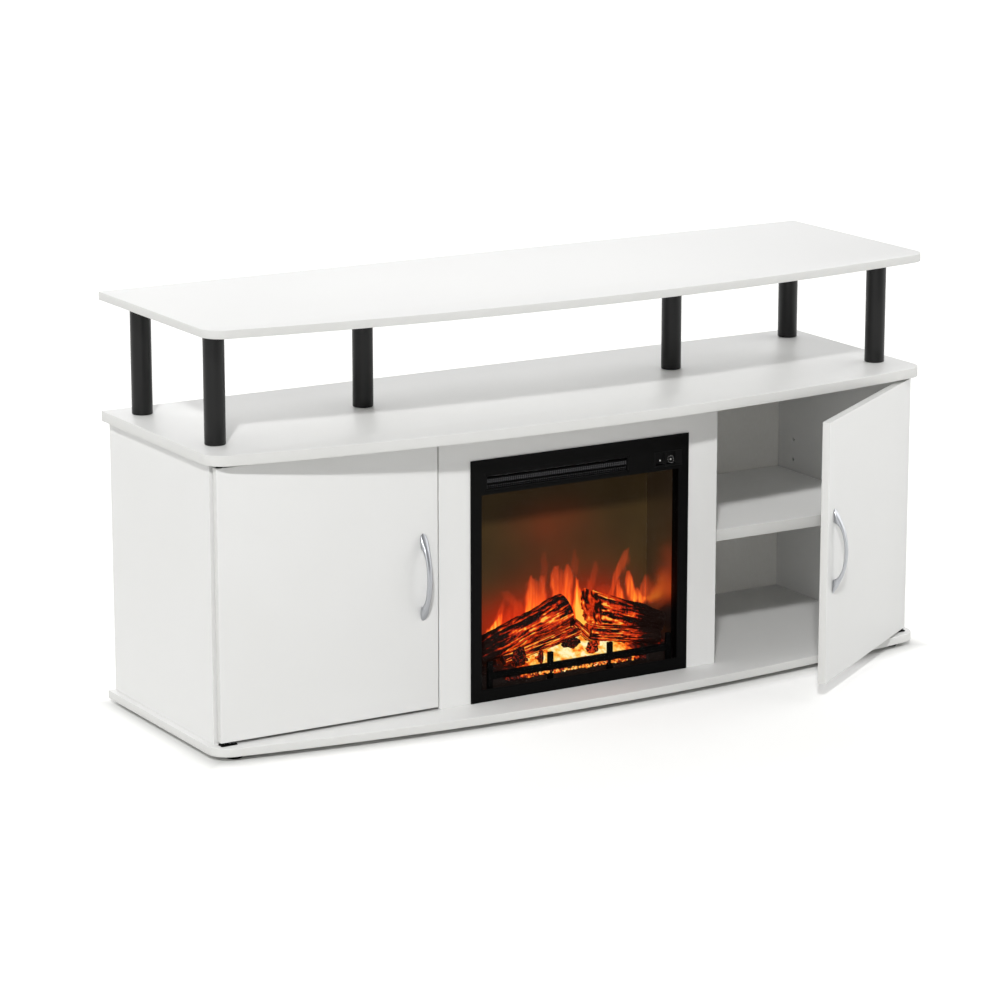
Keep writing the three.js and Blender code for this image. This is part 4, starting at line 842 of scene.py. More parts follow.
drilled = bmesh.new()
for side_name, sign in SIDES.items():
    side_low, side_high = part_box(f"side_panel_{side_name}")
    wall_low, wall_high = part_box(f"partition_{side_name}")
    side_x, wall_x = (side_low.x, wall_high.x) if sign > 0 else (side_high.x, wall_low.x)
    for face_x, inward in ((side_x, sign), (wall_x, -sign)):
        lie_down = Matrix.Rotation(-inward * math.pi / 2, 4, "Y")
        for hole_y in (side_low.y + HOLE_INSET, side_high.y - HOLE_INSET):
            for hole_z in HOLE_ROWS:
                hole_at = Matrix.Translation((face_x + inward * HOLE_BOTTOM, hole_y, hole_z))
                turning(drilled, [(0.0, 0.0), (HOLE_RADIUS, 0.0), (HOLE_RADIUS, -DISC_THICKNESS),
                                  (0.0, -DISC_THICKNESS)], hole_at @ lie_down, 20)
finish_piece("drilled_holes_painted_shade", drilled, "cabinet", raw_board_painted_shade())

# %% Nails of the back panels
NAIL_PITCH = 80 * MM
NAIL_INSET = 7 * MM
NAIL_RADIUS = 1.9 * MM
NAIL_HEAD = 0.5 * MM
nails = bmesh.new()
for side_name in SIDES:
    low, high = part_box(f"back_panel_{side_name}")
    nail_low, nail_high = low + Vector((NAIL_INSET,) * 3), high - Vector((NAIL_INSET,) * 3)
    columns = round((nail_high.x - nail_low.x) / NAIL_PITCH)
    rows = round((nail_high.z - nail_low.z) / NAIL_PITCH)
    spots = {(i / columns, j) for i in range(columns + 1) for j in (0, 1)}
    spots |= {(i, j / rows) for i in (0, 1) for j in range(rows + 1)}
    for across, up in sorted(spots):
        nail_at = Vector((nail_low.x + (nail_high.x - nail_low.x) * across, high.y,
                          nail_low.z + (nail_high.z - nail_low.z) * up))
        small_head(nails, NAIL_RADIUS, NAIL_HEAD, facing_back(nail_at))
finish_piece("back_panel_nails", nails, "cabinet", zinc_fastener)

# %% [markdown]
# ## Front of the fire
#
# The front plate, the moulded controls and the steel case keep their shape. The outlet gets
# rounded slats that two rows of grey teeth cross, and each rocker gets a soft edge and a
# printed mark: a dot for the heat and a dot in a dotted ring for the flames.

# %% Fire finishes on flat pieces
paint("insert_front", coated_black)
for node_name in ("control_plate", "cord_gland"):
    paint(node_name, moulded_black)
for node_name in ("insert_case", "blower_housing", "blower_motor", "flame_motor"):
    paint(node_name, zinc_sheet)
for node_name in ("blower_wheel", "flame_spindle"):
    paint(node_name, rolled_aluminium)

# %% Outlet louvre
LOUVRE_RIM = 2.2 * MM
LOUVRE_SLATS = 5
SLAT_HALF_DEPTH = 2.4 * MM
SLAT_HALF_THICKNESS = 0.4 * MM
SLAT_SETBACK = 3.4 * MM
SLAT_TILT = math.radians(25)
louvre_low, louvre_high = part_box("outlet_louvre")
louvre_clear = louvre_high.z - louvre_low.z - 2 * LOUVRE_RIM


def louvre_frame(shape):
    """The four bars round the outlet."""
    low, high = louvre_low, louvre_high
    block(shape, low, (high.x, high.y, low.z + LOUVRE_RIM), 0.5 * MM)
    block(shape, (low.x, low.y, high.z - LOUVRE_RIM), high, 0.5 * MM)
    block(shape, low, (low.x + LOUVRE_RIM, high.y, high.z), 0.5 * MM)
    block(shape, (high.x - LOUVRE_RIM, low.y, low.z), high, 0.5 * MM)


def louvre_slats(shape):
    """Tilted slats at even heights between the bars."""
    half = (louvre_high.x - louvre_low.x - LOUVRE_RIM) / 2
    for row in range(LOUVRE_SLATS):
        height = louvre_low.z + LOUVRE_RIM + louvre_clear * (row + 1) / (LOUVRE_SLATS + 1)
        before = set(shape.verts)
        block(shape, (-half, -SLAT_HALF_DEPTH, -SLAT_HALF_THICKNESS),
              (half, SLAT_HALF_DEPTH, SLAT_HALF_THICKNESS), 0.3 * MM)
        middle = Vector(((louvre_low.x + louvre_high.x) / 2, louvre_low.y + SLAT_SETBACK, height))
        place_new(shape, before, Matrix.Translation(middle) @ Matrix.Rotation(SLAT_TILT, 4, "X"))


louvre = bmesh.new()
louvre_frame(louvre)
louvre_slats(louvre)
finish_piece("outlet_louvre_slats", louvre, "cabinet", moulded_black, ["outlet_louvre"])

# %% Teeth in the outlet
# Each row: where it starts and ends in the clear height, and how many mm it stands back.
TOOTH_ROWS = ((0.46, 0.74, 1.2), (0.02, 0.26, 2.6))
LOUVRE_TEETH = 72
TOOTH_HALF = 0.6 * MM
TOOTH_DEPTH = 2.0 * MM
tooth_span = louvre_high.x - louvre_low.x - 4 * LOUVRE_RIM
tooth_foot = louvre_low.z + LOUVRE_RIM
for row, (row_low, row_high, row_depth) in enumerate(TOOTH_ROWS):
    teeth = bmesh.new()
    for tooth in range(LOUVRE_TEETH):
        tooth_x = louvre_low.x + 2 * LOUVRE_RIM + tooth_span * tooth / (LOUVRE_TEETH - 1)
        tooth_y = louvre_low.y + row_depth * MM
        block(teeth, (tooth_x - TOOTH_HALF, tooth_y, tooth_foot + louvre_clear * row_low),
              (tooth_x + TOOTH_HALF, tooth_y + TOOTH_DEPTH, tooth_foot + louvre_clear * row_high),
              0.2 * MM, 1)
    finish_piece(f"outlet_teeth_row_{row + 1}", teeth, "cabinet", moulded_grey)

# %% Heater element
FINS = 92
FIN_THICKNESS = 0.4 * MM
FIN_INSET = 0.5 * MM
ELEMENT_RAIL = 1.6 * MM
ELEMENT_RAIL_INSET = 1 * MM
element_low, element_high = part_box("heater_element")
element = bmesh.new()
for fin in range(FINS):
    fin_x = element_low.x + (element_high.x - element_low.x - FIN_THICKNESS) * fin / (FINS - 1)
    block(element, (fin_x, element_low.y, element_low.z + FIN_INSET),
          (fin_x + FIN_THICKNESS, element_high.y, element_high.z - FIN_INSET))
for rail_z in (element_low.z, element_high.z - ELEMENT_RAIL):
    block(element, (element_low.x, element_low.y + ELEMENT_RAIL_INSET, rail_z),
          (element_high.x, element_high.y - ELEMENT_RAIL_INSET, rail_z + ELEMENT_RAIL), 0.3 * MM)
finish_piece("heater_element_fins", element, "cabinet", rolled_aluminium, ["heater_element"])

# %% Rocker caps
ROCKER_FRONT = 4.4 * MM
ROCKER_BACK = 3.2 * MM
ROCKER_PLAY = (0.6 * MM, 0.5 * MM)
ROCKER_DISH = 1.6 * MM
ROCKER_BACK_TAPER = 0.72
ROCKER_ROUND = 0.5 * MM
ROCKER_REST = math.radians(-7)


def dished(z, tall):
    """Where the face of a rocker of that height lies at a height from its middle."""
    return -ROCKER_FRONT + ROCKER_DISH * (1 - (2 * z / tall) ** 2)


def rocker_shape(size):
    """A rocker whose face is dished: a block cut into rows that sink towards the middle."""
    shape = bmesh.new()
    play_x, play_z = ROCKER_PLAY
    block(shape, (-size.x / 2 + play_x, -ROCKER_FRONT, -size.z / 2 + play_z),
          (size.x / 2 - play_x, ROCKER_BACK, size.z / 2 - play_z))
    upright = [e for e in shape.edges if abs(e.verts[0].co.z - e.verts[1].co.z) > 1 * MM]
    bmesh.ops.subdivide_edges(shape, edges=upright, cuts=15, use_grid_fill=True)
    for vert in shape.verts:
        if vert.co.y < 0:
            vert.co.y = dished(vert.co.z, size.z)
        else:
            vert.co.z *= ROCKER_BACK_TAPER
    rim = [e for e in shape.edges if len(e.link_faces) == 2 and e.calc_face_angle(0.0) > math.radians(40)]
    ease(shape, rim, ROCKER_ROUND, 3)
    return shape


# %% Marks on the rockers
MARK_HEIGHT = -2.4 * MM
MARK_DOT = 1.1 * MM
MARK_RING = 5.0 * MM
MARK_RING_DOTS = 12
RING_DOT = 0.36 * MM
PRINT_SUNK = 0.02 * MM
PRINT_THICKNESS = 0.12 * MM
PRINT_GRAIN_MM = 0.4


def printed_white():
    """White ink that covers a little unevenly."""
    material, tree, shader, place = new_material("pad_printing_white", "e8e8e6", 0.5)
    coverage = add(tree, "ShaderNodeTexNoise", {
        "Vector": place, "Scale": per_metre(PRINT_GRAIN_MM), "Detail": 2.0})
    two_tone(tree, shader, coverage.outputs["Fac"], "cfcfcd", "f0f0ee")
    return material


def mark_disc(shape, x, z, radius, tall):
    """A printed dot on the dished face of a rocker of that height."""
    lie_on = Matrix.Translation((x, dished(z, tall) - PRINT_SUNK, z)) @ Matrix.Rotation(math.pi / 2, 4, "X")
    turning(shape, [(0.0, 0.0), (radius, 0.0), (radius, PRINT_THICKNESS), (0.0, PRINT_THICKNESS)], lie_on, 20)


# %% Rockers
white_print = printed_white()
for switch, ring_dots in (("heat_switch", 0), ("flame_switch", MARK_RING_DOTS)):
    low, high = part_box(switch)
    body = switch.replace("switch", "rocker")
    centre = Vector(((low.x + high.x) / 2, 0.0, (low.z + high.z) / 2))
    pivot_y = next(j for j in frame["joints"] if j["child"] == body)["pos_m"][1]
    seat = Matrix.Translation((centre.x, pivot_y, centre.z)) @ Matrix.Rotation(ROCKER_REST, 4, "X")
    cap = rocker_shape(high - low)
    place_new(cap, set(), seat)
    finish_piece(f"{switch}_cap", cap, body, switch_black, [switch], crease=50.0)
    mark = bmesh.new()
    mark_disc(mark, 0.0, MARK_HEIGHT, MARK_DOT, high.z - low.z)
    for dot in range(ring_dots):
        turn = math.tau * dot / ring_dots
        mark_disc(mark, MARK_RING * math.cos(turn), MARK_HEIGHT + MARK_RING * math.sin(turn),
                  RING_DOT, high.z - low.z)
    place_new(mark, set(), seat)
    finish_piece(f"{switch}_mark", mark, body, white_print)

# %% [markdown]
# ## Window and fire box
#
# The window is tinted glass with an antireflex coat, so the room hardly mirrors in it while
# the fire shines through. Behind it the side walls are satin steel sheet that mirrors the
# ends of the flame picture softly, and a matt black flange hides their front edges.


# %% Glass and lining finishes
GLASS_DUST_MM = 45.0
SOOT_PATCH_MM = 60.0


def tinted_glass():
    """Dark glass that lets most of the light through, with a little dust on it."""
    material, tree, shader, place = new_material("glass_float_tinted_antireflex", "030303", 0.3, ior=1.5)
    shader.inputs["Alpha"].default_value = 0.2
    shader.inputs["Specular IOR Level"].default_value = 0.03
    dust = add(tree, "ShaderNodeTexNoise", {
        "Vector": place, "Scale": per_metre(GLASS_DUST_MM), "Detail": 4.0})
    uneven_gloss(tree, shader, dust.outputs["Fac"], 0.25, 0.4)
    return material


def polished_wall():
    """Satin steel, duller where soot has settled."""
    material, tree, shader, place = new_material("steel_sheet_satin_polished", "ccc8c2", 0.3, metallic=1.0)
    soot = add(tree, "ShaderNodeTexNoise", {
        "Vector": place, "Scale": per_metre(SOOT_PATCH_MM), "Detail": 4.0})
    uneven_gloss(tree, shader, soot.outputs["Fac"], 0.26, 0.34)
    return material


paint("window_glass", tinted_glass())

# %% Fire box
FLANGE = 20 * MM
LINING = 0.5 * MM
FLANGE_THICKNESS = 1.2 * MM
LINING_GAP = 0.12 * MM
SHEET_GAP = 0.3 * MM
BED_GAP = 0.2 * MM
FLOOR_BELOW = 0.2 * MM
FLOOR_ABOVE = 0.3 * MM
glass_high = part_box("window_glass")[1]
screen_low, screen_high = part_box("flame_screen")
box_front = glass_high.y + SHEET_GAP
box_back = screen_low.y - SHEET_GAP
for side_name, sign in SIDES.items():
    wall_x = sign * (screen_high.x + LINING_GAP)
    lining = bmesh.new()
    inner_x = wall_x - sign * LINING
    block(lining, (min(wall_x, inner_x), box_front + FLANGE, screen_low.z),
          (max(wall_x, inner_x), box_back, screen_high.z))
    finish_piece(f"firebox_wall_{side_name}", lining, "cabinet", polished_wall())
    flange = bmesh.new()
    inner_x = wall_x - sign * FLANGE_THICKNESS
    block(flange, (min(wall_x, inner_x), box_front, screen_low.z),
          (max(wall_x, inner_x), box_front + FLANGE, screen_high.z), 0.2 * MM)
    finish_piece(f"firebox_flange_{side_name}", flange, "cabinet", coated_black)
roof = bmesh.new()
block(roof, (screen_low.x, box_front, screen_high.z - LINING), (screen_high.x, box_back, screen_high.z))
block(roof, (screen_low.x, box_front, screen_low.z - FLOOR_BELOW),
      (screen_high.x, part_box("ember_bed")[0].y - BED_GAP, screen_low.z + FLOOR_ABOVE))
finish_piece("firebox_roof_and_floor", roof, "cabinet", coated_black)

# %% [markdown]
# ## Flame picture
#
# The flames are light thrown on a smoked screen behind the logs. Each flame is a tongue,
# a short curved spine of points from its base to its tip with a half width at each. A fine
# grid carries how strongly the tongues shine at each point, and a noise that is stretched
# upwards wavers their edges. The material turns that number into red, orange and yellow.

# %% Tongues of flame
# Spines are in millimetres: across from the middle, up from the floor, half width there.
TONGUES = [
    (1.20, [(-98, 86, 10), (-92, 95, 10), (-86, 103, 8), (-82, 111, 4), (-79, 120, 1)]),
    (0.42, [(-86, 104, 6), (-82, 116, 5), (-78, 128, 3), (-76, 140, 1)]),
    (0.34, [(-44, 116, 9), (-54, 130, 10), (-66, 142, 9), (-76, 152, 4)]),
    (0.90, [(-30, 110, 11), (-28, 128, 10), (-28, 146, 9), (-28, 158, 8), (-27, 166, 6)]),
    (0.78, [(-12, 110, 9), (-10, 130, 8), (-9, 148, 8), (-8, 158, 7), (-7, 166, 5)]),
    (0.78, [(-20, 112, 9), (-19, 132, 9), (-18, 148, 8), (-18, 160, 5)]),
    (0.20, [(-6, 158, 4), (-5, 174, 4), (-5, 190, 3), (-4, 202, 1)]),
    (0.80, [(15, 114, 8), (15, 134, 7), (15, 152, 7), (14, 166, 6), (14, 178, 4)]),
    (0.84, [(34, 114, 8), (34, 134, 8), (34, 152, 7), (35, 166, 6), (36, 176, 4)]),
    (0.62, [(25, 116, 9), (24, 138, 9), (24, 158, 8), (24, 172, 4)]),
    (0.20, [(46, 166, 3), (48, 180, 4), (49, 190, 3), (50, 198, 1)]),
    (0.32, [(73, 132, 7), (78, 148, 7), (83, 162, 6), (87, 178, 2)]),
    (0.52, [(108, 114, 5), (113, 132, 5), (119, 146, 6), (127, 160, 9), (136, 174, 7), (142, 190, 1)]),
    (0.98, [(153, 108, 9), (148, 120, 8), (144, 132, 6), (142, 142, 4), (140, 155, 1)]),
    (0.90, [(167, 104, 8), (161, 114, 7), (152, 126, 4)]),
    (0.76, [(128, 110, 7), (127, 122, 6), (125, 132, 4), (125, 144, 1)]),
    (0.56, [(170, 106, 9), (170, 120, 8), (170, 132, 5), (172, 142, 1)]),
    (1.40, [(64, 82, 14), (59, 98, 12), (53, 110, 10), (52, 122, 6), (52, 136, 4), (52, 156, 2)]),
    (0.36, [(104, 110, 22), (100, 126, 18), (96, 138, 10)]),
    (0.34, [(-60, 104, 24), (-56, 120, 18), (-52, 134, 8)]),
]
ROOT = 0.8


# %% Light of one tongue
def tongue_light(spine, x, z):
    """How deep a point lies in one tongue: 1 on its spine at the base, less towards its tip
    and 0 at its soft edge. Below its first point it fades out over ROOT steps of its spine."""
    best = 0.0
    for (x0, z0, w0), (x1, z1, w1) in zip(spine, spine[1:]):
        part = (z - z0) / (z1 - z0)
        if -ROOT <= part <= 1.0:
            held = max(part, 0.0)
            middle = x0 + (x1 - x0) * held
            width = w0 + (w1 - w0) * held
            fade = 1.0 if part >= 0 else 1.0 + part / ROOT
            rise = max((z - spine[0][1]) / (spine[-1][1] - spine[0][1]), 0.0)
            soft = s_curve((1.0 - abs(x - middle) / (width * 1.25 + 1.8)) * 1.7)
            best = max(best, fade * soft * (1.0 - 0.3 * rise - 0.34 * rise ** 4))
    return best


# %% Flames and haze together
HAZE = 0.95
PLUME = 0.16
VEIL = 0.14


def flame_at(x, z):
    """Strength of the flames at a place in mm, and of the red haze round and over them.

    The haze has three parts: a wide one behind the logs, a veil over the flames and a faint
    plume near the top."""
    waver = noise.noise(Vector((x * 0.05, 0.0, z * 0.03))) * 5.0
    curl = noise.noise(Vector((x * 0.17, 4.0, z * 0.07))) * 2.6
    at = x + (waver + curl) * within((z - 95) / 60)
    lifted = z + 5.0 * noise.noise(Vector((x * 0.16, 7.0, 0.0)))
    flame = max(power * tongue_light(spine, at, lifted) for power, spine in TONGUES)
    streak = 0.84 + 0.3 * noise.noise(Vector((x * 0.3, 9.0, z * 0.03)))
    haze = HAZE * bell(z, 104, 40) * bell(x, 8, 135, 4)
    plume = PLUME * bell(x, 6, 60) * bell(z, 244, 32)
    veil = VEIL * bell(x, 25, 80) * bell(z, 168, 48)
    patch = 0.9 + 0.3 * noise.noise(Vector((x * 0.022, 2.0, z * 0.016)))
    return flame * streak, (haze + plume + veil) * patch


# %% Finish of the flame screen
SCREEN_LIGHT = 1.35
SCREEN_SHADE = (0.25, 0.264)
SCREEN_SHADED = 0.42
SMOKE_MM = 70.0
FLAME_COLOURS = {0.0: "000000", 0.2: "611607", 0.45: "bc3812", 0.68: "f9611d", 0.84: "ff9527", 1.0: "ffce50"}


def glow_colour(tree, heat, colours):
    """The colour that a heat glows in. colours maps heats, coolest first, to hex colours."""
    ramp = add(tree, "ShaderNodeValToRGB", {"Fac": heat})
    stops = ramp.color_ramp.elements
    stops.remove(stops[1])
    (stops[0].position, coolest), *hotter = colours.items()
    stops[0].color = linear(coolest)
    for position, colour in hotter:
        stops.new(position).color = linear(colour)
    return ramp.outputs["Color"]


def flame_material():
    """A smoked screen that glows as its mesh says and is shaded near its top."""
    material, tree, shader, place = new_material("acrylic_smoked_flame_screen", "080605", 0.5)
    flame = add(tree, "ShaderNodeAttribute", attribute_name="tongue_light").outputs["Fac"]
    haze = add(tree, "ShaderNodeAttribute", attribute_name="haze_light").outputs["Fac"]
    hot = glow_colour(tree, flame, FLAME_COLOURS)
    height = add(tree, "ShaderNodeSeparateXYZ", {"Vector": place}).outputs["Z"]
    shade = add(tree, "ShaderNodeMapRange", {
        "Value": height, "From Min": SCREEN_SHADE[0], "From Max": SCREEN_SHADE[1], "To Min": 1.0,
        "To Max": SCREEN_SHADED})
    smoke = add(tree, "ShaderNodeTexNoise", {"Vector": place, "Scale": per_metre(SMOKE_MM), "Detail": 3.0})
    back = add(tree, "ShaderNodeMix", {
        "Factor": smoke.outputs["Fac"], 6: linear("352717"), 7: linear("4a3a1e")}, data_type="RGBA")
    red = add(tree, "ShaderNodeMix", {
        "Factor": haze, 6: back.outputs[2], 7: linear("c42409")}, data_type="RGBA")
    dim = add(tree, "ShaderNodeVectorMath", {0: red.outputs[2]}, operation="SCALE")
    tree.links.new(shade.outputs["Result"], dim.inputs["Scale"])
    both = add(tree, "ShaderNodeVectorMath", {0: dim.outputs["Vector"], 1: hot}, operation="ADD")
    tree.links.new(both.outputs["Vector"], shader.inputs["Emission Color"])
    shader.inputs["Emission Strength"].default_value = SCREEN_LIGHT
    shader.inputs["Specular IOR Level"].default_value = 0.1
    return material


# %% Screen with the flames
SCREEN_STEP_MM = 1.6
screen = bmesh.new()
across_mm = (screen_high.x - screen_low.x) / MM
tall_mm = (screen_high.z - screen_low.z) / MM
bmesh.ops.create_grid(screen, x_segments=round(across_mm / SCREEN_STEP_MM),
                      y_segments=round(tall_mm / SCREEN_STEP_MM), size=0.5)
scale_screen = Matrix.Diagonal((across_mm * MM, tall_mm * MM, 1.0, 1.0))
stand_up = Matrix.Rotation(math.pi / 2, 4, "X")
screen_middle = Vector((0.0, screen_low.y, (screen_low.z + screen_high.z) / 2))
place_new(screen, set(), Matrix.Translation(screen_middle) @ stand_up @ scale_screen)
flame_layer = screen.verts.layers.float.new("tongue_light")
haze_layer = screen.verts.layers.float.new("haze_light")
for vert in screen.verts:
    vert[flame_layer], vert[haze_layer] = flame_at(vert.co.x / MM, vert.co.z / MM)
thicken(screen, screen.faces[:], (0, screen_high.y - screen_low.y, 0))
finish_piece("flame_screen_lit", screen, "cabinet", flame_material(), ["flame_screen"])

# %% [markdown]
# ## Logs
#
# A log starts as a cone with many sides that is cut across many times. Every point is then
# pushed in or out along its radius: long ridges of bark that run with the grain, plates
# that break them up, and slow swellings of the wood. Where bark is sunk the log glows, more
# near the embers than at its far ends, and a colour ramp makes that glow red or yellow. Its
# sawn ends are mottled.

# %% Charred bark that glows
BARK_GRAIN_MM = 3.2
BARK_COLOURS = {0.3: "0d0302", 0.38: "651203", 0.5: "bc290a", 0.72: "ed4512", 0.9: "ff8122", 1.0: "ffbf4b"}


def charred_bark():
    """Black bark that glows where its mesh is hot, broken up by a fine grain."""
    material, tree, shader, place = new_material("resin_charred_bark", "1c120c", 0.75)
    heat = add(tree, "ShaderNodeAttribute", attribute_name="ember_light").outputs["Fac"]
    grain = add(tree, "ShaderNodeTexNoise", {
        "Vector": place, "Scale": per_metre(BARK_GRAIN_MM), "Detail": 5.0, "Roughness": 0.65,
        "Distortion": 0.6})
    centred = add(tree, "ShaderNodeMath", {0: grain.outputs["Fac"], 1: 0.5}, operation="SUBTRACT")
    flicker = add(tree, "ShaderNodeMath", {0: centred.outputs[0], 1: 0.6, 2: heat}, operation="MULTIPLY_ADD")
    tree.links.new(glow_colour(tree, flicker.outputs[0], BARK_COLOURS), shader.inputs["Emission Color"])
    shader.inputs["Emission Strength"].default_value = 1.5
    shader.inputs["Specular IOR Level"].default_value = 0.2
    two_tone(tree, shader, grain.outputs["Fac"], "0a0605", "241810")
    relief(tree, shader, grain.outputs["Fac"], 0.8, 0.7)
    return material


bark = charred_bark()


# %% Relief and heat of a log
LOG_SIDES = 88
CAP_RINGS = 5
CAP_RING_STEP = 0.17


def log_body(radii, length, cuts):
    """A cone that is cut across many times, with rings in both its ends. radii are in mm."""
    shape = bmesh.new()
    bmesh.ops.create_cone(shape, cap_ends=True, cap_tris=False, segments=LOG_SIDES,
                          radius1=radii[0] * MM, radius2=radii[1] * MM, depth=length)
    long_edges = [e for e in shape.edges if abs(e.verts[0].co.z - e.verts[1].co.z) > 0.5 * length]
    bmesh.ops.subdivide_edges(shape, edges=long_edges, cuts=cuts, use_grid_fill=True)
    for cap in [face for face in shape.faces if len(face.verts) == LOG_SIDES]:
        ring = [cap]
        for _ in range(CAP_RINGS):
            bmesh.ops.inset_region(shape, faces=ring, thickness=min(radii) * MM * CAP_RING_STEP,
                                   depth=0.0, use_boundary=True, use_even_offset=True)
        bmesh.ops.poke(shape, faces=ring)
    return shape


def ridge(value):
    """Turns noise between -1 and 1 into a crease of value 0 where it crosses 0."""
    return min(1.0, abs(value) * 3.4)


def warmth(x, z):
    """How hot the fire is at a place, in millimetres: hottest over the middle of the embers."""
    return bell(x, -10, 128, 4) * (0.66 + 0.34 * bell(z, 66, 46))


def bark_at(round_x, round_y, along, seed):
    """Two numbers for a place on a log: its crease, 0 where bark is deepest, and its swelling."""
    grain = noise.noise(Vector((round_x * 2.8, round_y * 2.8, along * 0.014 + seed)))
    fine = noise.noise(Vector((round_x * 6.0, round_y * 6.0, along * 0.032 + 2 * seed)))
    plate = noise.noise(Vector((round_x * 2.2, round_y * 2.2, along * 0.11 + 3 * seed)))
    swelling = noise.noise(Vector((round_x, round_y, along * 0.03 + 5 * seed)))
    return ridge(grain) * 0.46 + ridge(fine) * 0.38 + ridge(plate) * 0.16, swelling


# %% A log
MEAN_CREASE = 0.62
BARK_DEPTH = 0.24
SWELLING_HEIGHT = 0.16
CALM_END = 12 * MM


def fire_log(name, start, end, radii, seed, replaced=(), cuts=120, base_heat=1.0, lean=0.0, corners=2.0):
    """A log between two points in mm. radii are its half thickness at both ends, lean is how far
    its start is sawn out of square, and corners is 2 for a round log and more for a split one."""
    start, end = Vector(start) * MM, Vector(end) * MM
    length = (end - start).length
    shape = log_body(radii, length, cuts)
    heat_layer = shape.verts.layers.float.new("ember_light")
    turn = (end - start).to_track_quat("Z", "Y").to_matrix().to_4x4()
    matrix = Matrix.Translation((start + end) / 2) @ turn
    for vert in shape.verts:
        radius = max(vert.co.xy.length, 1e-6)
        along = vert.co.z / MM
        angle = math.atan2(vert.co.y, vert.co.x)
        full = (radii[0] + (radii[1] - radii[0]) * (vert.co.z / length + 0.5)) * MM
        share = min(radius / full, 1.0)
        round_x, round_y = math.cos(angle), math.sin(angle)
        vert.co.xy *= (abs(round_x) ** corners + abs(round_y) ** corners) ** (-1 / corners)
        vert.co.z -= lean * MM * vert.co.y / full * (0.5 - vert.co.z / length)
        crease, swelling = bark_at(round_x, round_y, along, seed)
        calm = min(1.0, 0.25 + (length / 2 - abs(vert.co.z)) / CALM_END)
        push = ((crease - MEAN_CREASE) * BARK_DEPTH + swelling * SWELLING_HEIGHT) * calm
        vert.co.xy *= 1.0 + push * share
        if share < 0.97:
            crack = noise.noise(Vector((vert.co.x / MM * 0.16, vert.co.y / MM * 0.16, seed)))
            vert.co.z -= math.copysign(1.0, vert.co.z) * (1.6 * (1 - share) + 0.9 * abs(crack)) * MM
            crease = min(0.66 - 0.5 * crack, 1.0)
        world = matrix @ vert.co
        wide = 0.5 + 0.8 * noise.noise(world / MM * 0.026 + Vector((seed, 0, 0)))
        hot = warmth(world.x / MM, world.z / MM) * base_heat
        vert[heat_layer] = hot * (1.95 * (1.0 - crease) ** 1.9 + 0.42 * wide)
    place_new(shape, set(), matrix)
    finish_piece(name, shape, "cabinet", bark, replaced, crease=60.0)


# %% Three logs, a branch and a chip
fire_log("log_left_bark", (-150, -22, 78), (0, -26, 129), (19, 22), 1.3, ["log_left"])
fire_log("log_right_bark", (40, -34, 126), (168, -15, 82), (24, 16), 4.7, ["log_right"], base_heat=1.42,
         lean=10.0, corners=3.2)
fire_log("log_front_bark", (26, -45, 93), (150, -43, 68), (13, 10), 8.2, ["log_front"], cuts=90)
fire_log("log_branch_left", (-118, -46, 70), (12, -43, 98), (8, 9), 11.9, cuts=90, base_heat=1.1)
fire_log("log_chip_middle", (2, -44, 110), (33, -46, 82), (7, 6), 18.6, cuts=50, base_heat=0.95)


# %% Charred lumps
def char_lump(name, centre, size, seed, heat):
    """A burnt lump round a centre in mm, size being its half extent along X, Y and Z."""
    shape = bmesh.new()
    bmesh.ops.create_icosphere(shape, subdivisions=5, radius=1.0)
    heat_layer = shape.verts.layers.float.new("ember_light")
    for vert in shape.verts:
        knob = noise.fractal(vert.co * 1.3 + Vector((seed, 0, 0)), 1.0, 2.0, 3)
        crack = ridge(noise.noise(vert.co * 2.4 + Vector((0, seed, 0))))
        vert[heat_layer] = heat * (1.5 * (1.0 - crack) + 0.3)
        swelled = vert.co * (0.92 + 0.3 * knob + 0.08 * crack)
        vert.co = Vector(c + s * part for c, s, part in zip(centre, size, swelled)) * MM
    finish_piece(name, shape, "cabinet", bark, crease=60.0)


char_lump("char_lump_middle", (-6, -50, 82), (15, 6, 8), 2.0, 0.24)
char_lump("char_lump_right", (31, -51, 70), (10, 6, 9), 5.0, 0.42)
char_lump("char_lump_left", (-58, -52, 69), (4, 4, 10), 8.0, 0.3)
char_lump("char_lump_far_left", (-95, -52, 73), (12, 6, 15), 11.0, 0.24)

# %% [markdown]
# ## Embers
#
# The bed is a mound of resin that is lit from below by a small board of lamps. Its top is
# rough with clinker and loose coals lie on it. It is brightest in the middle, where it is
# nearly white. A moulded grate stands before it, and smaller coals are spilt between the
# uprights of the grate, just under its rail.

# %% Light board
LIGHT_PITCH_MM = 12.0


def solder_mask():
    """A green lacquered board whose tracks show as paler lines under the lacquer."""
    material, tree, shader, place = new_material("circuit_board_green_lacquer", "12462a", 0.3)
    tracks = add(tree, "ShaderNodeTexBrick", {
        "Vector": place, "Scale": per_metre(LIGHT_PITCH_MM), "Mortar Size": 0.06, "Color1": linear("12462a"),
        "Color2": linear("164e30"), "Mortar": linear("2f7a4e")})
    tree.links.new(tracks.outputs["Color"], shader.inputs["Base Color"])
    relief(tree, shader, tracks.outputs["Fac"], 0.05, 0.5)
    return material


paint("light_board", solder_mask())

# %% Ember finish
CLINKER_MM = 7.0
EMBER_COLOURS = {0.14: "070201", 0.3: "811907", 0.45: "f35012", 0.6: "ff9527", 0.78: "ffce61", 1.0: "fff3bc"}


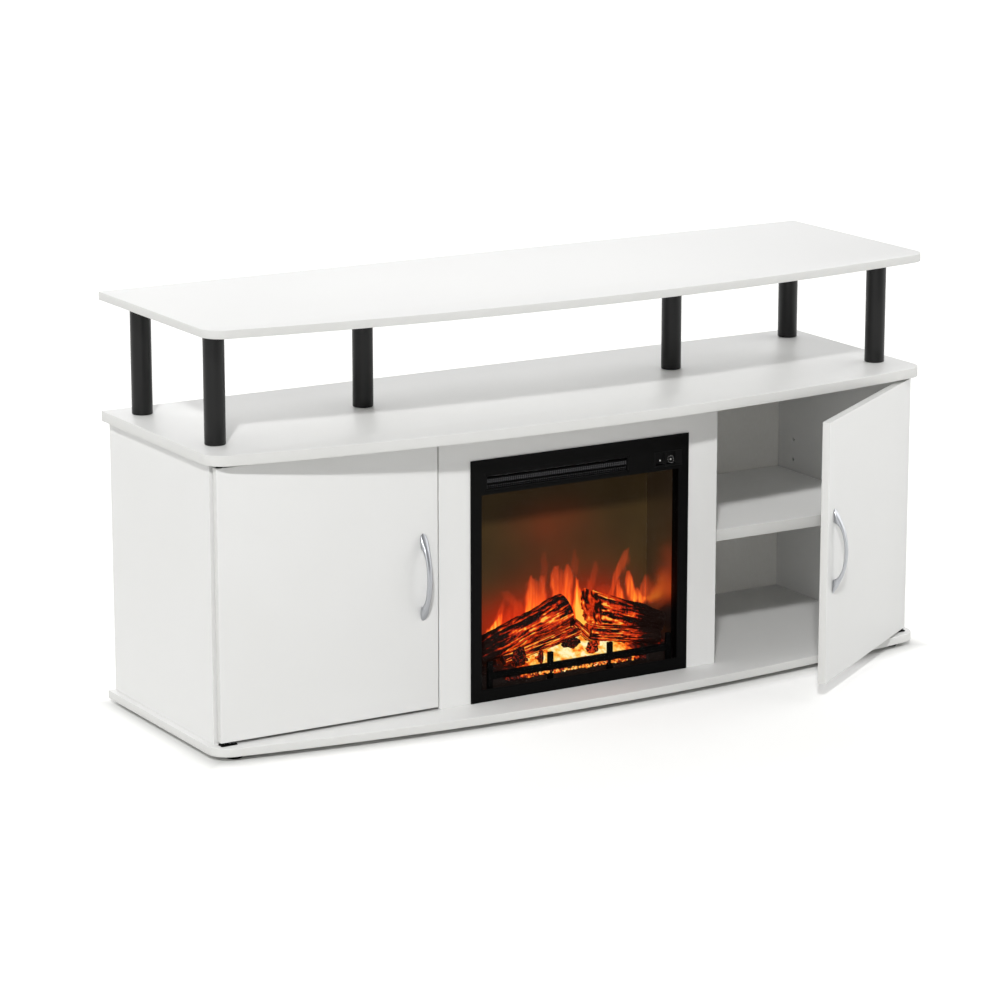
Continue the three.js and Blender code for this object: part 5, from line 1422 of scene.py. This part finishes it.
def glowing_resin():
    """Dark resin that glows where its mesh is hot, broken up by clinker."""
    material, tree, shader, place = new_material("resin_translucent_ember", "2a1208", 0.6)
    heat = add(tree, "ShaderNodeAttribute", attribute_name="ember_light").outputs["Fac"]
    clinker = add(tree, "ShaderNodeTexNoise", {
        "Vector": place, "Scale": per_metre(CLINKER_MM), "Detail": 4.0, "Roughness": 0.6})
    centred = add(tree, "ShaderNodeMath", {0: clinker.outputs["Fac"], 1: 0.5}, operation="SUBTRACT")
    mixed = add(tree, "ShaderNodeMath", {0: centred.outputs[0], 1: 1.3, 2: heat}, operation="MULTIPLY_ADD")
    tree.links.new(glow_colour(tree, mixed.outputs[0], EMBER_COLOURS), shader.inputs["Emission Color"])
    shader.inputs["Emission Strength"].default_value = 1.6
    two_tone(tree, shader, clinker.outputs["Fac"], "0a0503", "1e120c")
    relief(tree, shader, clinker.outputs["Fac"], 1.2, 0.8)
    return material


ember = glowing_resin()


def ember_heat(x, y, z):
    """Glow of the embers at a place in mm: strong over the middle of the bed, gone at its ends."""
    level = 0.84 + 0.34 * noise.noise(Vector((x * 0.06, y * 0.08, z * 0.08)))
    return bell(x, 4, 98, 6) * level


# %% Ember bed
BED_RIM = 34
MOUND_HEIGHT = 26
CLINKER_HEIGHT = 3.0
FRONT_HEAT = -0.3
bed_low, bed_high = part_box("ember_bed")


def mound(x, y):
    """Height of the embers over their front edge, at a place in mm."""
    depth = within((y * MM - bed_low.y) / (bed_high.y - bed_low.y))
    return MOUND_HEIGHT * bell(x, 12, 105) * math.sin(math.pi * min(0.02 + 0.94 * depth, 1.0))


bed = bmesh.new()
bmesh.ops.create_grid(bed, x_segments=200, y_segments=46, size=0.5)
for vert in bed.verts:
    bed_x = (vert.co.x * (bed_high.x - bed_low.x)) / MM
    bed_y = (bed_low.y + (vert.co.y + 0.5) * (bed_high.y - bed_low.y)) / MM
    rough = noise.fractal(Vector((bed_x * 0.09, bed_y * 0.09, 0.0)), 1.0, 2.0, 4)
    height = bed_low.z / MM + BED_RIM + mound(bed_x, bed_y) + CLINKER_HEIGHT * rough
    vert.co = Vector((bed_x, bed_y, height)) * MM
rim_edges = [edge for edge in bed.edges if edge.is_boundary]
for part in bmesh.ops.extrude_edge_only(bed, edges=rim_edges)["geom"]:
    if isinstance(part, bmesh.types.BMVert):
        part.co.z = bed_low.z
bmesh.ops.contextual_create(bed, geom=[edge for edge in bed.edges if edge.is_boundary])
bed_heat = bed.verts.layers.float.new("ember_light")
for vert in bed.verts:
    front = vert.co.y < bed_low.y + 1 * MM
    vert[bed_heat] = FRONT_HEAT if front else ember_heat(vert.co.x / MM, vert.co.y / MM, vert.co.z / MM)
finish_piece("ember_bed_clinker", bed, "cabinet", ember, ["ember_bed"], crease=60.0)

# %% One coal
dice = random.Random(7)
coals = bmesh.new()
coal_heat = coals.verts.layers.float.new("ember_light")


def coal(place, size, heat, number):
    """One coal round a place in mm. size is its mean radius and number picks its knobs."""
    lump = bmesh.ops.create_icosphere(coals, subdivisions=2, radius=1.0)["verts"]
    squash = (dice.uniform(0.8, 1.3), dice.uniform(0.6, 0.9), dice.uniform(0.6, 0.9))
    for vert in lump:
        knob = 1.0 + 0.28 * noise.noise(vert.co * 1.7 + Vector((number, 0, 0)))
        vert[coal_heat] = heat * (0.7 + 1.5 * (1.0 - knob))
        vert.co = Vector(c * s for c, s in zip(vert.co * knob * size * MM, squash))
    axis = Vector((dice.random(), dice.random(), 1.0)).normalized()
    spin = Matrix.Rotation(dice.uniform(0, math.tau), 4, axis)
    bmesh.ops.transform(coals, matrix=Matrix.Translation(Vector(place) * MM) @ spin, verts=lump)


# %% Loose coals
BED_COALS = 110
BED_AREA = ((-150, 150), (-44, 6))
BED_COAL_MM = (2.5, 5.0)
SPILT_COALS = 260
SPILT_AREA = ((-120, 118), (-61.5, -58.5))
SPILT_COAL_MM = (1.2, 2.4)
SPILT_Z = 46
SPILT_UNEVEN = (-1.6, 2.2)
for number in range(BED_COALS):
    coal_x, coal_y = (dice.uniform(*span) for span in BED_AREA)
    coal_z = bed_low.z / MM + BED_RIM + mound(coal_x, coal_y)
    lump_heat = ember_heat(coal_x, coal_y, coal_z) * dice.uniform(0.5, 1.1)
    coal((coal_x, coal_y, coal_z), dice.uniform(*BED_COAL_MM), lump_heat, number)
for number in range(SPILT_COALS):
    coal_x, coal_y = (dice.uniform(*span) for span in SPILT_AREA)
    lump_heat = (0.3 + 0.7 * ember_heat(coal_x, coal_y, SPILT_Z)) * dice.uniform(0.35, 1.25)
    coal_z = SPILT_Z + dice.uniform(*SPILT_UNEVEN)
    coal((coal_x, coal_y, coal_z), dice.uniform(*SPILT_COAL_MM), lump_heat, number)
finish_piece("loose_coals", coals, "cabinet", ember, crease=80.0)

# %% Grate
GRATE_POSTS = 4
POST_HALF = 4.5 * MM
RAIL_LOW = 49.5 * MM
RAIL_HIGH = 60.5 * MM
RAIL_THICKNESS = 5 * MM
RAIL_PROUD = 0.2 * MM
GRATE_ROUND = 1.2 * MM
grate_low, grate_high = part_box("fire_grate")
grate = bmesh.new()
block(grate, (grate_low.x, grate_low.y, RAIL_LOW),
      (grate_high.x, grate_low.y + RAIL_THICKNESS, RAIL_HIGH), GRATE_ROUND, 3)
grate_pitch = (grate_high.x - grate_low.x - 2 * POST_HALF) / (GRATE_POSTS - 1)
for upright in range(GRATE_POSTS):
    post_x = grate_low.x + POST_HALF + grate_pitch * upright
    block(grate, (post_x - POST_HALF, grate_low.y + RAIL_PROUD, grate_low.z),
          (post_x + POST_HALF, grate_high.y, grate_high.z), GRATE_ROUND, 3)
finish_piece("fire_grate_moulded", grate, "cabinet", moulded_black, ["fire_grate"])

# %% [markdown]
# ## Stage and light
#
# A pale floor and a faint white room light the stand softly. A key lamp behind the camera's
# left shoulder gives the one clear shadow, of each board on what lies below it. A weak lamp
# in front reaches into the open compartment, and wide ones from the left, the right and
# behind lift the side panel, the open door and the tops. What the camera or the glass sees
# of the floor and the room is white, and that adds no light to the stand. Under the base
# that white is taken away, so the real shadow there shows, and it fades back in over a band
# that reaches 30 mm past the base: a painted contact shadow that keeps the narrow gap over
# the floor dark.

# %% Finish of the floor
FLOOR_LIFT = 0.38
# Where the white fades in round the base as painted contact shadow: from inside its outline to outside it, in
# metres.
PAINTED_SHADOW_EDGE = (-0.012, 0.03)


def lift_mask_painted_shadow(tree, place):
    """1 on the open floor, 0 under the base board, with a soft edge from 12 mm inside its outline to 30 mm
    outside it, which paints a contact shadow.
    """
    base_low, base_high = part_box("base_board")
    spot = add(tree, "ShaderNodeSeparateXYZ", {"Vector": place})
    square = add(tree, "ShaderNodeMath", {0: spot.outputs["X"], 1: spot.outputs["X"]}, operation="MULTIPLY")
    bow = add(tree, "ShaderNodeMath", {
        0: square.outputs[0], 1: 0.5 / BOW_RADIUS, 2: base_low.y}, operation="MULTIPLY_ADD")
    before = add(tree, "ShaderNodeMath", {0: bow.outputs[0], 1: spot.outputs["Y"]}, operation="SUBTRACT")
    aside = add(tree, "ShaderNodeMath", {0: spot.outputs["X"]}, operation="ABSOLUTE")
    beside = add(tree, "ShaderNodeMath", {0: aside.outputs[0], 1: base_high.x}, operation="SUBTRACT")
    behind = add(tree, "ShaderNodeMath", {0: spot.outputs["Y"], 1: base_high.y}, operation="SUBTRACT")
    ends = add(tree, "ShaderNodeMath", {
        0: beside.outputs[0], 1: behind.outputs[0]}, operation="MAXIMUM")
    outside = add(tree, "ShaderNodeMath", {
        0: before.outputs[0], 1: ends.outputs[0]}, operation="MAXIMUM")
    return add(tree, "ShaderNodeMapRange", {
        "Value": outside.outputs[0], "From Min": PAINTED_SHADOW_EDGE[0], "From Max": PAINTED_SHADOW_EDGE[1]}).outputs["Result"]


def white_floor():
    """A matt floor that is seen as white, except under the base board and in a painted contact shadow round
    it.
    """
    material, tree, shader, place = new_material("paper_sweep_white", "dfdfdd", 0.9)
    shader.inputs["Specular IOR Level"].default_value = 0.1
    rays = add(tree, "ShaderNodeLightPath")
    direct = add(tree, "ShaderNodeMath", {
        0: rays.outputs["Is Camera Ray"], 1: rays.outputs["Is Glossy Ray"]}, operation="MAXIMUM")
    seen = add(tree, "ShaderNodeMath", {
        0: direct.outputs[0], 1: rays.outputs["Is Transmission Ray"]}, operation="MAXIMUM")
    shown = add(tree, "ShaderNodeMath", {
        0: seen.outputs[0], 1: lift_mask_painted_shadow(tree, place)}, operation="MULTIPLY")
    lift = add(tree, "ShaderNodeMath", {0: shown.outputs[0], 1: FLOOR_LIFT}, operation="MULTIPLY")
    shader.inputs["Emission Color"].default_value = (1.0, 1.0, 1.0, 1.0)
    tree.links.new(lift.outputs[0], shader.inputs["Emission Strength"])
    return material


# %% Floor
FLOOR_HALF = 40.0
floor_shape = bmesh.new()
bmesh.ops.create_grid(floor_shape, x_segments=1, y_segments=1, size=FLOOR_HALF)
floor_mesh = bpy.data.meshes.new("floor")
floor_shape.to_mesh(floor_mesh)
floor_shape.free()
floor_mesh.materials.append(white_floor())
floor = bpy.data.objects.new("floor", floor_mesh)
bpy.context.scene.collection.objects.link(floor)

# %% Room and lamps
ROOM_LEVEL = 0.02
ROOM_MIRRORED = 0.3


def white_room():
    """A faint white room that the camera and the glass see as plain white."""
    world = bpy.data.worlds.new("white_room")
    world.use_nodes = True
    tree = world.node_tree
    rays = add(tree, "ShaderNodeLightPath")
    seen = add(tree, "ShaderNodeMath", {
        0: rays.outputs["Is Camera Ray"], 1: rays.outputs["Is Transmission Ray"]}, operation="MAXIMUM")
    mirrored = add(tree, "ShaderNodeMapRange", {
        "Value": rays.outputs["Is Glossy Ray"], "To Min": ROOM_LEVEL, "To Max": ROOM_MIRRORED})
    level = add(tree, "ShaderNodeMapRange", {
        "Value": seen.outputs[0], "To Min": mirrored.outputs["Result"], "To Max": 1.0})
    background = tree.nodes["Background"]
    background.inputs["Color"].default_value = (1.0, 1.0, 1.0, 1.0)
    tree.links.new(level.outputs["Result"], background.inputs["Strength"])
    bpy.context.scene.world = world


def lamp(name, towards, strength, spread_deg):
    """A lamp as far away as the sun. towards is the way its light travels."""
    data = bpy.data.lights.new(name, "SUN")
    data.energy = strength
    data.angle = math.radians(spread_deg)
    light = bpy.data.objects.new(name, data)
    light.rotation_euler = Vector(towards).to_track_quat("-Z", "Y").to_euler()
    bpy.context.scene.collection.objects.link(light)
    print(f"lamp {name}: {strength} W per square metre, {spread_deg:.0f} degrees wide")


white_room()
lamp("key", (0.75, 1.05, -1.0), 2.0, 4.0)
lamp("front_fill", (0.6, 0.85, -0.15), 0.26, 30.0)
lamp("left_fill", (1.0, 0.15, -0.35), 1.0, 80.0)
lamp("back_fill", (0.0, -1.0, -0.5), 1.9, 80.0)
lamp("right_fill", (-1.0, 0.2, -0.3), 2.2, 80.0)
